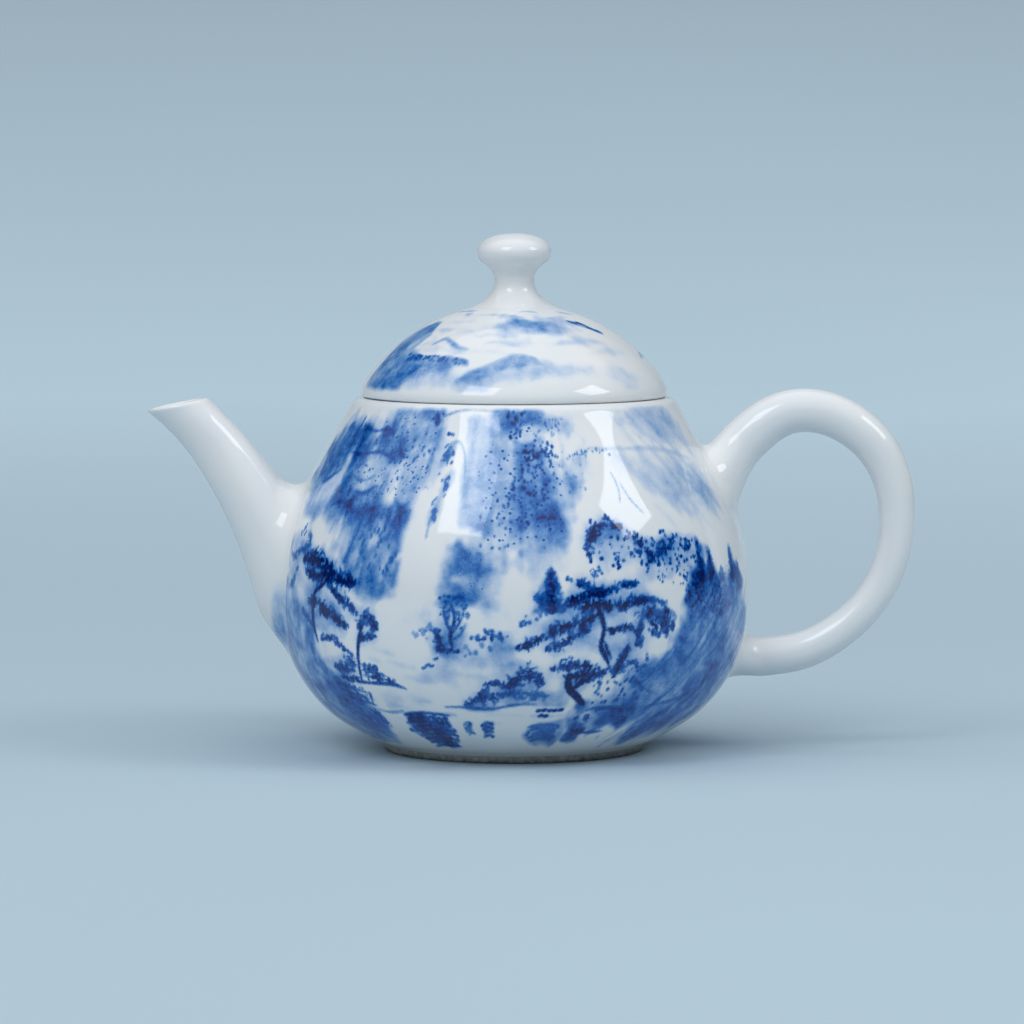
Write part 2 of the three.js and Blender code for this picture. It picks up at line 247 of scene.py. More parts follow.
def ring_on_pot(side, root, share, depth, columns):
    """A root's ellipse on the pot, scaled by share and sunk by depth."""
    z, half_height, half_width, _ = root
    angle = np.linspace(0, 2 * np.pi, columns, endpoint=False)
    return on_pot(side, share * half_width * np.sin(angle), z + share * half_height * np.cos(angle), depth)


def fillet(before, last, side, root, steps):
    """Rings that carry a tube's last ring smoothly onto the pot."""
    reach = root[3]
    end = ring_on_pot(side, root, 1, SEAM_DEPTH, len(last))
    arrive = ring_on_pot(side, root, 1.02, SEAM_DEPTH, len(last)) - end
    leave = last - before
    leave *= reach / np.linalg.norm(leave, axis=1)[:, None]
    arrive *= reach / np.linalg.norm(arrive, axis=1)[:, None]
    s = np.linspace(0, 1, steps + 1)[1:, None, None]
    return ((1 + 2 * s) * (1 - s) ** 2 * last + s * s * (3 - 2 * s) * end
            + s * (1 - s) ** 2 * leave - (1 - s) * s * s * arrive)


def spout_shape():
    """The spout's skin, from its root up the outside, over the lip and down the bore."""
    columns = 96
    stations = [(4.0 * i, *row) for i, row in enumerate(SPOUT_SECTIONS)]
    sections = curve(stations, 90)

    def rings(wall):
        """Rings along the spout, inside its outline by wall."""
        upper = np.stack([sections[:, 1], 0 * wall, sections[:, 2]], axis=1)
        lower = np.stack([sections[:, 3], 0 * wall, sections[:, 4]], axis=1)
        centre, half = (upper + lower) / 2, (upper - lower) / 2
        length = np.linalg.norm(half, axis=1)
        half *= ((length - wall) / length)[:, None]
        return ellipse_rings(centre, half, sections[:, 5] - wall, columns)

    walls = np.linspace(*SPOUT_WALL, len(sections))
    outside, bore = rings(0 * walls), rings(walls)
    along = (outside[0] - outside[1]).mean(axis=0)
    along /= np.linalg.norm(along)
    # The lip is a half round between the outside and the bore, and both are drawn back to make room for it.
    rise = along * SPOUT_WALL[0] / 2
    turn = np.linspace(0, np.pi, 9)[1:-1, None, None]
    middle, half = (outside[0] + bore[0]) / 2, (outside[0] - bore[0]) / 2
    lip = middle + half * np.cos(turn) + rise * (np.sin(turn) - 1)
    drawn_back = rise * np.linspace(1, 0, len(sections))[:, None, None] ** 4
    outside, bore = outside - drawn_back, bore - drawn_back
    root = fillet(outside[-2], outside[-1], -1, SPOUT_ROOT, 26)
    hidden = ring_on_pot(-1, SPOUT_ROOT, 0.97, HIDDEN_DEPTH, columns)
    mouth = ring_on_pot(-1, SPOUT_HOLE, 1, HIDDEN_DEPTH, columns)
    return skin(np.concatenate([outside, root, hidden[None], mouth[None], bore[::-3], lip[::-1]]), "loop")


def handle_shape():
    """The handle's skin: a tube with a fillet and a hidden end at each root."""
    columns = 64
    line = curve([(4.0 * i, *row) for i, row in enumerate(HANDLE_LINE)], 200)[:, 1:]
    along = np.gradient(line[:, :2], axis=0)
    along /= np.linalg.norm(along, axis=1)[:, None]
    centre = np.stack([line[:, 0], 0 * line[:, 0], line[:, 1]], axis=1)
    across = np.stack([-along[:, 1], 0 * line[:, 0], along[:, 0]], axis=1) * line[:, 2:]
    tube = ellipse_rings(centre, across, line[:, 2], columns)

    def rooted(before, last, root):
        """The rings that carry an end of the tube into the pot."""
        hidden = ring_on_pot(1, root, 0.95, HIDDEN_DEPTH, columns)
        return np.concatenate([fillet(before, last, 1, root, 22), hidden[None]])

    upper = rooted(tube[1], tube[0], UPPER_ROOT)
    lower = rooted(tube[-2], tube[-1], LOWER_ROOT)
    return skin(np.concatenate([upper[::-1], tube, lower]), "caps")


def vent_edge(rings, row, outward, radius):
    """Pushes a grid of rings apart round the vent. Returns the row and column of each point on its edge."""
    down, aside = np.mgrid[-2 * VENT_ROWS:2 * VENT_ROWS + 1, -2 * VENT_COLUMNS:2 * VENT_COLUMNS + 1]
    near = rings[row + down, BACK_COLUMN + aside]
    direction = np.stack([-aside / VENT_COLUMNS, outward * down / VENT_ROWS], axis=-1)
    level = np.abs(direction).max(axis=-1, keepdims=True)
    direction /= np.linalg.norm(direction, axis=-1, keepdims=True) + 1e-9
    share = np.clip(level - 1, 0, 1)
    near[..., :2] = (1 - share) * (radius * level * direction + [0, VENT_REACH]) + share * near[..., :2]
    # The points stay on the dome: their heights follow its profile.
    first, last = row - 2 * VENT_ROWS - 1, row + 2 * VENT_ROWS + 2
    profile = curve(rings[first:last, 0][::outward, ::2], 400)
    near[..., 2] = np.interp(np.hypot(near[..., 0], near[..., 1]), profile[:, 0], profile[:, 1])
    rings[row + down, BACK_COLUMN + aside] = near
    across, along = range(-VENT_COLUMNS, VENT_COLUMNS), range(-VENT_ROWS, VENT_ROWS)
    steps = [(-VENT_ROWS, j) for j in across] + [(i, VENT_COLUMNS) for i in along]
    steps += [(-i, -j) for i, j in steps]
    return [(row + outward * i, BACK_COLUMN + j) for i, j in steps]


def vented(rings, painted):
    """The lid's skin with its vent: a bore that joins gaps in the outer and the inner grid.

    Returns the skin, and which of its points are on the lid's painted outside.
    """
    reach = np.abs(rings[:, 0, 0] - VENT_REACH)
    outer_row = int(np.argmin(reach[:painted]))
    inner_row = painted + int(np.argmin(reach[painted:]))
    outer = vent_edge(rings, outer_row, 1, VENT_RADIUS + VENT_ROUND)
    inner = vent_edge(rings, inner_row, -1, VENT_RADIUS + VENT_ROUND / 2)
    points, faces = skin(rings, "caps")
    left_out = set()
    for row in (outer_row, inner_row):
        for i in range(row - VENT_ROWS, row + VENT_ROWS):
            middle = i * LID_COLUMNS + BACK_COLUMN
            left_out.update(range(middle - VENT_COLUMNS, middle + VENT_COLUMNS))
    faces = [face for i, face in enumerate(faces) if i not in left_out]
    outer, inner = (np.array([i * LID_COLUMNS + j for i, j in edge]) for edge in (outer, inner))
    centre = np.array([0, VENT_REACH])
    away = points[outer, :2] - centre
    away /= np.linalg.norm(away, axis=1, keepdims=True)
    top, bottom = points[outer, 2], points[inner, 2]
    loops = [outer]
    for radius, height in (
        (VENT_RADIUS + 0.3 * VENT_ROUND, top - 0.2 * VENT_ROUND),
        (VENT_RADIUS, top - 0.9 * VENT_ROUND),
        (VENT_RADIUS, bottom + VENT_ROUND / 2),
    ):
        loops.append(len(points) + np.arange(len(outer)))
        points = np.vstack([points, np.column_stack([centre + radius * away, height])])
    for upper, lower in zip(loops, loops[1:] + [inner]):
        faces += np.stack([upper, np.roll(upper, -1), np.roll(lower, -1), lower], axis=-1).tolist()
    used = np.unique(np.concatenate([np.ravel(face) for face in faces]))
    place = np.zeros(len(points), int)
    place[used] = np.arange(len(used))
    return (points[used], [[int(place[i]) for i in face] for face in faces]), used < painted * LID_COLUMNS


def lid_shape():
    """The lid's skin, and which of its points are on its painted outside."""
    outside = curve(LID_OUTLINE, 110)
    dome = curve(LID_OUTLINE[:6], 60)
    wall = inset(dome, -LID_WALL)
    wall = wall[wall[:, 1] > RIM_HEIGHT + 2.5]
    # The inside is plain, so away from the vent one row in four will do.
    near_vent = np.abs(wall[:, 0] - VENT_REACH) < 8
    wall = wall[near_vent | (np.arange(len(wall)) % 4 == 0)]
    outline = np.vstack([
        outside,
        LID_SEAT,
        wall[::-1],
        [(4.0, SEAT_HEIGHT - LID_WALL)],
    ])
    return vented(turned(outline, LID_COLUMNS), len(outside))


def knob_shape():
    """The knob's skin. Its outline's last point lies past the axis, so that the crown is round."""
    at, _ = spline(KNOB_OUTLINE, 2)
    rows = np.array(KNOB_OUTLINE)
    length = np.linalg.norm(np.diff(rows, axis=0), axis=1)
    crown = length[:-1].sum()
    outline = at(np.linspace(0, crown, 120)) + np.array([0, SEAT_HEIGHT])
    return skin(turned(outline[:-1], 96), "caps")


def closed_ring(points, count, columns):
    """A ring's skin: a smooth closed outline turned about the pot's axis."""
    return skin(turned(curve(list(points) + [points[0]], count)[:-1], columns), "loop")


# ---- The painter: cobalt on a sheet wrapped round the pot, in degrees round it and mm up it ----

def smooth_step(low, high, value):
    """0 at low and 1 at high, and smooth between them."""
    share = np.clip((value - low) / (high - low), 0, 1)
    return share * share * (3 - 2 * share)


def softened(layer, across, up):
    """A layer blurred by sizes given in cells. It joins at its sides."""
    row = np.fft.fftfreq(layer.shape[0])[:, None] * up
    column = np.fft.rfftfreq(layer.shape[1])[None, :] * across
    kept = np.exp(-2 * np.pi ** 2 * (row ** 2 + column ** 2))
    return np.fft.irfft2(np.fft.rfft2(layer) * kept, layer.shape)


def clouds(draw, shape, across, up):
    """Smooth random values from -1 to 1."""
    field = softened(draw.normal(size=shape), across, up)
    return np.clip(field / field.std() / 2, -1, 1)


STEP = 0.2  # mm up the sheet in one of its cells
SHEET_COLUMNS = 1440  # cells round the sheet
NEEDLES = 4.4  # how many a branch of foliage has in each mm
NEEDLE_LENGTH = 1.2


class Sheet:
    """Cobalt from 0 to 1: a thin wash, and ink with the places that the brush touched and its fine dots."""

    def __init__(self, low, high, degree, seed):
        """A bare sheet from low to high, with the unevenness that its brushes and washes share."""
        self.degree = degree  # mm round the surface in one degree
        self.height = np.arange(low, high, STEP)
        self.draw = np.random.default_rng(seed)
        shape = (len(self.height), SHEET_COLUMNS)
        self.wash = np.zeros(shape)
        self.ink = np.zeros(shape)
        self.touched = np.zeros(shape)
        self.peppered = np.zeros(shape)
        across = 360 * degree / SHEET_COLUMNS  # mm round the surface in one cell
        broad, patchy, blotchy, fine = (
            clouds(self.draw, shape, size / across, size / STEP) for size in (3.5, 1.6, 0.8, 0.35))
        self.edges = 0.9 * broad + 0.7 * patchy + 0.4 * blotchy + 0.15 * fine
        self.mottle = np.clip(0.5 * broad + 0.8 * patchy + 0.6 * blotchy + 0.15 * fine, -1, 1)
        narrow = clouds(self.draw, shape, 0.35 / across, 3 / STEP)
        wide = clouds(self.draw, shape, 0.8 / across, 6 / STEP)
        self.streaks = narrow + wide

    def near(self, azimuth, height, margin):
        """The cells near some places: their rows and columns, and where they are in mm."""
        turn = 360 / SHEET_COLUMNS  # degrees in one cell
        first = int(np.floor((min(azimuth) - margin / self.degree + 180) / turn))
        last = int(np.ceil((max(azimuth) + margin / self.degree + 180) / turn))
        column = np.arange(first, last + 1)
        row = np.flatnonzero((self.height > min(height) - margin) & (self.height < max(height) + margin))
        x = (column * turn - 180) * self.degree
        return np.ix_(row, column % SHEET_COLUMNS), x[None, :], self.height[row][:, None]

    def cover(self, outline, edge, rough):
        """How far an outline covers each cell near it, with an uneven edge."""
        corners = np.array(outline, float)
        cells, x, y = self.near(corners[:, 0], corners[:, 1], edge + 2 * rough + 1)
        corners = corners * [self.degree, 1]
        apart = np.full((y + x).shape, np.inf)
        for a, b in sides(corners):
            apart = np.minimum(apart, distance(x, y, a, b)[0])
        depth = np.where(within(corners, x, y), apart, -apart)
        return cells, smooth_step(-edge, edge, depth + rough * self.edges[cells])

    def patch(self, outline, tone, edge=1.0, rough=1.6, streaky=0.0, mottled=0.55):
        """A wash inside an outline."""
        cells, cover = self.cover(outline, edge, rough)
        grain = 1 + mottled * self.mottle[cells] + streaky * self.streaks[cells]
        self.wash[cells] = 1 - (1 - self.wash[cells]) * (1 - np.clip(tone * cover * grain, 0, 0.97))

    def pepper(self, outline, share):
        """Fine dots inside an outline, sparse where share is near 0 and crowded near 1."""
        cells, cover = self.cover(outline, edge=1.0, rough=1.2)
        self.peppered[cells] = np.maximum(self.peppered[cells], share * cover)

    def lift(self, outline, share, edge=1.5, rough=1.6):
        """Takes cobalt away inside an outline."""
        cells, cover = self.cover(outline, edge, rough)
        for layer in (self.wash, self.ink, self.touched, self.peppered):
            layer[cells] *= 1 - share * cover

    def stroke(self, points, width, tone, soft=0.35, layer="ink"):
        """A brush stroke that thins towards its ends: in ink, in wash, or wiped bare of wash."""
        line = np.array(points, float)
        if len(line) > 2:
            line = curve(line, 5 * len(line))
        cells, x, y = self.near(line[:, 0], line[:, 1], width + soft)
        line = line * [self.degree, 1]
        share = np.linspace(-1, 1, len(line))
        best = np.full((y + x).shape, -np.inf)
        for i, (a, b) in enumerate(zip(line[:-1], line[1:])):
            apart, along = distance(x, y, a, b)
            place = share[i] + along * (share[i + 1] - share[i])
            best = np.maximum(best, width / 2 * (1 - 0.6 * place ** 4) - apart)
        cover = smooth_step(-soft, soft, best + 0.15 * width * self.mottle[cells])
        if layer == "wash":
            self.wash[cells] = 1 - (1 - self.wash[cells]) * (1 - tone * cover)
        elif layer == "bare":
            self.wash[cells] *= 1 - tone * cover
        else:
            self.press(cells, cover, tone)

    def press(self, cells, cover, tone):
        """Presses ink of some tone onto the cells that a brush covers."""
        self.ink[cells] += cover * np.maximum(tone - self.ink[cells], 0)
        self.touched[cells] = np.maximum(self.touched[cells], cover)

    def touches(self, azimuth, height, length, width, lean, tone):
        """Many small touches of the brush. lean is each one's angle from upright, in radians."""
        each = zip(*np.broadcast_arrays(azimuth, height, length, width, lean, tone))
        for a, z, long, wide, turn, dark in each:
            cells, x, y = self.near([a], [z], long / 2 + wide)
            right, up = x - a * self.degree, y - z
            along = right * np.sin(turn) + up * np.cos(turn)
            across = right * np.cos(turn) - up * np.sin(turn)
            apart = np.hypot(np.maximum(np.abs(along) - (long - wide) / 2, 0), across)
            cover = smooth_step(wide * 0.9, wide * 0.1, apart)
            self.press(cells, cover, dark)

    def dots(self, outline, count, size, tone, tall=1.2):
        """Small dots scattered inside an outline."""
        corners = np.array(outline, float)
        low, high = corners.min(axis=0), corners.max(axis=0)
        azimuth, height = self.draw.uniform(low, high, (6 * count, 2)).T
        inside = within(corners, azimuth, height)
        azimuth, height = azimuth[inside][:count], height[inside][:count]
        found = len(azimuth)
        width = 0.78 * size * self.draw.uniform(0.7, 1.3, found)
        dark = tone * self.draw.uniform(0.55, 1.15, found)
        lean = self.draw.normal(0, 0.3, found)
        self.touches(azimuth, height, width * tall, width, lean, np.clip(dark, 0, 1))

    def foliage(self, line, thick, tone, lean=0.0, fan=0.8):
        """A cushion of needles along a line, thickest in its middle, over a soft wash."""
        stops = 40
        points = curve(line, stops) if len(line) > 2 else np.linspace(line[0], line[1], stops)
        steps = np.diff(points * [self.degree, 1], axis=0)
        count = int(NEEDLES * np.linalg.norm(steps, axis=1).sum() * (0.5 + 0.8 * thick))
        where = self.draw.uniform(0, stops - 1, count)
        swell = np.sqrt(np.clip(1 - (2 * where / (stops - 1) - 1) ** 4, 0, 1))
        spread = np.clip(self.draw.normal(0, 0.5, count), -1.3, 1.3)
        azimuth = np.interp(where, np.arange(stops), points[:, 0]) + self.draw.normal(0, 0.5, count)
        height = np.interp(where, np.arange(stops), points[:, 1]) + 0.6 * spread * thick * swell
        turn = lean + self.draw.normal(0, fan, count)
        dark = tone * self.draw.uniform(0.6, 1.15, count) * (1.1 - 0.5 * np.abs(spread))
        self.stroke(line, thick + 1.4, 0.24 * tone, soft=1.6, layer="wash")
        self.stroke(line, 0.6 * thick, 0.45 * tone, soft=0.7, layer="wash")
        length = NEEDLE_LENGTH * self.draw.uniform(0.5, 1.1, count)
        width = self.draw.uniform(0.26, 0.44, count)
        self.touches(azimuth, height, length, width, turn, np.clip(dark, 0, 1))

    def finish(self, fade):
        """Fades the painting by height, and leaves in ink the tone of whatever touched each place."""
        for layer in (self.wash, self.ink, self.touched, self.peppered):
            layer *= fade[:, None]
        blur = 1.3  # cells
        self.ink = softened(self.ink, blur, blur) / (softened(self.touched, blur, blur) + 0.02)


def sides(corners):
    """The two ends of each side of a polygon."""
    return zip(corners, np.roll(corners, -1, axis=0))


def within(corners, x, y):
    """Whether places are inside a polygon."""
    inside = np.zeros(np.broadcast(x, y).shape, bool)
    for a, b in sides(corners):
        crosses = (a[1] > y) != (b[1] > y)
        inside ^= crosses & (x < a[0] + (y - a[1]) * (b[0] - a[0]) / (b[1] - a[1] + 1e-9))
    return inside


def distance(x, y, a, b):
    """How far places are from a segment, and how far along it their nearest point is."""
    step = b - a
    share = np.clip(((x - a[0]) * step[0] + (y - a[1]) * step[1]) / (step @ step + 1e-9), 0, 1)
    return np.hypot(x - a[0] - share * step[0], y - a[1] - share * step[1]), share


# ---- The landscape round the pot, in (degrees from the front towards the handle, mm up) ----

def left_cliff(sheet):
    """The tall cliff at the left, with its ledges and folds."""
    sheet.patch([(-79, 60), (-70, 64), (-52, 65.5), (-38, 66.5), (-25, 66), (-22, 60), (-25, 53), (-28, 46),
                 (-29, 37), (-31, 32.6), (-38, 33), (-46, 37), (-54, 42), (-62, 46), (-70, 46), (-79, 53)],
                0.40, edge=2.2, rough=1.8, streaky=0.25, mottled=0.5)
    sheet.patch([(-76, 62), (-61, 62.5), (-60, 56), (-67, 52.5), (-76, 54)], 0.42, streaky=0.3)
    for outline, tone, edge in (
        ([(-59, 62.8), (-51, 62.5), (-49.5, 57), (-50, 50), (-57.5, 49), (-55, 52), (-58.5, 57)], 0.62,
         1.4),
        ([(-51, 61.8), (-38, 62.2), (-34, 57), (-37, 56), (-42, 59), (-50, 59.5)], 0.45, 1.2),
        ([(-53, 51.5), (-46, 51), (-44, 48.6), (-36, 48.6), (-28.4, 50), (-29, 46.5), (-34, 45.4),
          (-42, 46), (-52, 47)], 0.56, 1.2),
        ([(-48, 47.5), (-39, 47.5), (-39, 42.5), (-46, 43)], 0.4, 1.3),
        ([(-37, 46), (-29.6, 46), (-30, 38), (-32, 34.4), (-36, 35), (-35, 40)], 0.34, 1.6),
        ([(-47, 43), (-38, 43), (-38, 36), (-45, 37)], 0.3, 1.8),
        ([(-39, 60.5), (-33, 61), (-33, 57), (-38, 57.5)], 0.3, 1.2),
        ([(-36, 66.4), (-26, 66), (-25, 61), (-34, 62)], 0.2, 1.4),
        ([(-62, 50), (-52, 49), (-52, 45), (-62, 46)], 0.24, 1.6),
    ):
        sheet.patch(outline, tone, edge=edge, rough=1.2, streaky=0.2)
    for outline, share in (
        ([(-49, 56.6), (-43, 57), (-42, 54), (-47, 53.4)], 0.3),
        ([(-36, 56), (-31, 56), (-31, 52), (-36, 52)], 0.3),
        ([(-38, 65), (-28.5, 64), (-30, 61.5), (-37, 62)], 0.45),
        ([(-58, 66.5), (-44, 66.5), (-46, 64), (-57, 63.6)], 0.6),
        ([(-62, 45.5), (-53, 45.5), (-52, 41), (-65, 41)], 0.6),
        ([(-64, 53.5), (-59, 54), (-58.4, 48.5), (-68, 48.5)], 0.45),
        ([(-42, 44.6), (-40, 44.6), (-42, 38), (-44, 38)], 0.5),
        ([(-33, 42), (-31, 42), (-32, 36), (-34, 36)], 0.3),
    ):
        sheet.lift(outline, share, edge=1.1, rough=1.0)
    for _ in range(36):
        a, z = sheet.draw.uniform(-54, -29), sheet.draw.uniform(34, 48)
        tone = sheet.draw.uniform(0.12, 0.34)
        layer = sheet.draw.choice(["wash", "bare"])
        sheet.stroke([(a + 0.8, z + 2.6), (a, z), (a - 1.0, z - 2.4)], 0.6, tone, soft=0.6, layer=layer)
    for line, wide, tone in (
        ([(-58.8, 62.8), (-54, 62), (-49, 62), (-45, 62.3), (-42, 61.5)], 0.7, 0.55),
        ([(-59, 57.9), (-52, 57.6), (-46, 58.2), (-38, 57)], 0.5, 0.62),
        ([(-67, 52), (-63.5, 53.2), (-60, 54.6)], 0.6, 0.5),
        ([(-48.5, 51), (-44, 51), (-41.5, 52.2)], 0.7, 0.5),
        ([(-46.5, 61), (-46.8, 62.5), (-45, 62.2)], 0.6, 0.5),
        ([(-38, 60.5), (-36, 57.8), (-34, 57.5)], 0.8, 0.5),
        ([(-57, 48), (-52, 49), (-47, 47.4)], 0.7, 0.4),
        ([(-53, 54), (-47, 53), (-43, 54)], 0.5, 0.36),
        ([(-42, 49), (-43, 44), (-46, 38)], 0.5, 0.35),
        ([(-34, 50.4), (-31, 48), (-30, 44)], 0.6, 0.34),
    ):
        sheet.stroke(line, wide, tone, soft=0.5)
    sheet.stroke([(-27, 65), (-26.6, 64.2), (-26, 63.6)], 1.6, 0.72, soft=0.6)
    sheet.pepper([(-58, 64), (-24, 66), (-23, 58), (-28, 46), (-50, 46), (-56, 55)], 0.45)
    sheet.dots([(-50, 62), (-25, 65), (-24, 52), (-48, 50)], 70, size=0.55, tone=0.6)
    sheet.dots([(-42, 49), (-29, 49), (-30, 36), (-42, 38)], 36, size=0.6, tone=0.45, tall=2.4)
    sheet.touches([-60.8, -60.5, -60.6], [63.4, 64, 62.6], 0.9, 0.5, 0.3, 0.7)


def waterfall(sheet):
    """The waterfall beside the cliff: bare porcelain with a few trees on its edge."""
    sheet.lift([(-21, 67.2), (-16, 67.2), (-15.4, 60), (-16.5, 52), (-14.5, 47), (-16.5, 44), (-17.5, 40),
                (-18.5, 32), (-28.5, 31), (-28.3, 42), (-26, 50), (-23, 58)], 0.93, edge=1.2, rough=0.9)
    sheet.patch([(-24, 58), (-21.5, 60), (-21, 50), (-26, 48)], 0.13, edge=1.6)
    for a, z, wide, tall, count in (
        (-20, 58.4, 1.5, 1.5, 26),
        (-19, 53, 1.1, 1.6, 18),
        (-21.2, 48.2, 0.8, 1.8, 16),
    ):
        sheet.touches(sheet.draw.normal(a, wide / 2, count), sheet.draw.normal(z, tall / 2, count),
                      sheet.draw.uniform(0.6, 1.1, count), 0.42, sheet.draw.normal(0.3, 0.5, count),
                      sheet.draw.uniform(0.3, 0.55, count))
        sheet.stroke([(a - wide, z - 1.2 * tall), (a + wide, z + 1.2 * tall)], 1.5, 0.4, soft=1.1,
                     layer="wash")
    sheet.stroke([(-20.5, 60), (-17, 60.4), (-14.5, 57), (-14, 54)], 0.5, 0.22)
    sheet.stroke([(-22, 47), (-22.3, 43.3)], 0.4, 0.3)
    sheet.stroke([(-18, 66.2), (-13, 66.6), (-9, 66.2)], 0.7, 0.45, soft=0.5)
    sheet.stroke([(-24.5, 65), (-20, 66), (-18, 66.4)], 0.5, 0.3)
    sheet.dots([(-22, 62), (-18.5, 62), (-18.5, 52), (-22, 52)], 14, size=0.6, tone=0.6)


def middle_mountain(sheet):
    """The mountain in the middle, its peaks, mist and the lights between them."""
    sheet.patch([(-11, 55), (-8.5, 62), (-4, 65), (-3, 66.8), (5, 66.5), (10, 64.5), (17, 62), (17, 53),
                 (13, 47), (10, 43), (5, 41.5), (0, 40), (-4, 39), (-7.5, 36), (-8, 32.5), (-15, 31),
                 (-18, 33.5), (-16.5, 38), (-15.3, 44), (-10.5, 44.5), (-10.5, 50)], 0.42, edge=2.2,
                rough=1.6, streaky=0.25)
    sheet.patch([(-17, 65), (-6, 66), (-5.6, 55), (-9, 45), (-15, 44), (-14, 52), (-14.5, 60)], 0.3,
                edge=1.4, streaky=0.3)
    sheet.patch([(-7, 59), (0, 60.5), (9, 59), (11, 52), (10, 46), (2, 44.5), (-5, 46), (-7, 52)], 0.34,
                edge=2.0, streaky=0.3)
    sheet.patch([(8, 66), (20, 64), (22, 61), (14, 62), (6, 63.5)], 0.16, edge=1.4)
    sheet.patch([(12, 58), (22, 60), (22, 54), (14, 50)], 0.16, edge=2.0, streaky=0.4)
    for outline, tone, edge in (
        ([(-15.4, 43.6), (-10.4, 43.6), (-9.5, 41), (-12.5, 39), (-15, 40.6)], 0.62, 1.0),
        ([(-2.6, 66.3), (3.2, 66), (2.5, 62.8), (0.5, 60.8), (-2, 61.8)], 0.66, 1.2),
        ([(3.5, 50.6), (7, 49), (10.8, 50), (11.6, 46.6), (8.5, 44.6), (6, 46.6)], 0.68, 1.1),
        ([(-9.2, 46.4), (-6.5, 47), (-6, 43), (-9, 41)], 0.5, 1.0),
        ([(-1.6, 46), (2.5, 46), (1.6, 40.8), (-2.3, 40.6)], 0.4, 1.3),
        ([(-3, 54), (3, 53), (3.4, 48.6), (-1, 48.4)], 0.36, 1.3),
        ([(2.6, 60), (9, 60.6), (10, 57), (4, 56)], 0.34, 1.2),
        ([(-15.6, 41), (-7.6, 41), (-7.6, 36.6), (-14.6, 36)], 0.46, 1.2),
        ([(-17, 37.6), (-9, 36.4), (-9, 31.6), (-18, 31.6)], 0.4, 1.4),
        ([(-10, 51), (-5, 52), (-5, 46), (-10, 45)], 0.3, 1.3),
        ([(-16.6, 42), (-8, 43), (-5, 38), (-8, 33), (-16, 33)], 0.3, 1.8),
        ([(-18, 43.5), (-2, 44), (-1, 38), (-5, 31.5), (-18, 31.5), (-19.5, 36)], 0.2, 2.0),
    ):
        sheet.patch(outline, tone, edge=edge, rough=1.0)
    sheet.lift([(4, 63.2), (12, 62.4), (19, 60), (13, 59.6), (8, 61.4), (2, 61.2)], 0.7, edge=0.8,
               rough=0.8)
    sheet.lift([(12, 57.4), (15, 58), (14, 50), (11.6, 51)], 0.45, edge=1.2)
    sheet.lift([(1.5, 63), (4, 61), (0, 59.2), (-3, 60)], 0.4, edge=1.0)
    sheet.lift([(4, 45), (10, 43.6), (8, 41), (3, 41.6)], 0.45, edge=1.4)
    sheet.lift([(-2, 58), (0.6, 57.6), (0, 54), (-3, 54.4)], 0.3, edge=1.0)
    sheet.lift([(-11, 61), (-1.5, 62), (-0.5, 54), (-1.5, 48), (-4, 45.4), (-11, 46.6)], 0.5, edge=1.6)
    sheet.stroke([(-2.6, 42.5), (-2.4, 40), (-2.5, 37.6)], 1.0, 0.36, soft=0.9, layer="wash")
    sheet.patch([(-4, 42), (6, 42), (12, 45), (10, 39), (2, 37), (-4, 38)], 0.14, edge=2.2, streaky=0.4)
    sheet.stroke([(28.5, 55), (29.5, 52), (29, 49.5)], 0.4, 0.3)
    sheet.stroke([(30.5, 53), (32.5, 50), (35.5, 47.5)], 0.4, 0.3)
    sheet.dots([(-2.5, 66), (3.5, 66), (2, 61), (-2, 61)], 16, size=0.85, tone=0.78)
    sheet.dots([(0, 58), (13, 59.5), (12.5, 52), (11, 45), (2, 45), (-1, 50)], 56, size=0.66, tone=0.75,
               tall=1.3)
    sheet.dots([(-9, 52), (0, 52), (0, 42), (-9, 41)], 26, size=0.55, tone=0.6, tall=1.4)
    sheet.pepper([(-9, 58), (0, 64), (13, 60), (13, 50), (10, 44), (0, 41), (-9, 41)], 0.6)
    sheet.pepper([(-15, 44), (-3, 43), (-7, 33), (-16, 33)], 0.35)
    sheet.dots([(3, 66), (19, 64.6), (18, 61), (6, 61.6)], 26, size=0.55, tone=0.5)
    sheet.dots([(12, 58), (22, 58), (20, 52), (12, 48)], 16, size=0.55, tone=0.3)
    sheet.dots([(2.6, 59), (7.5, 60), (9.4, 61.8), (11, 60), (14, 59.2), (13.5, 57.8), (9, 58), (3, 57)],
               34, size=0.72, tone=0.82)
    sheet.dots([(14, 59), (17, 58.2), (24, 59.8), (30, 59), (30, 57.8), (24, 58.6), (17, 57.2)], 30,
               size=0.5, tone=0.5)


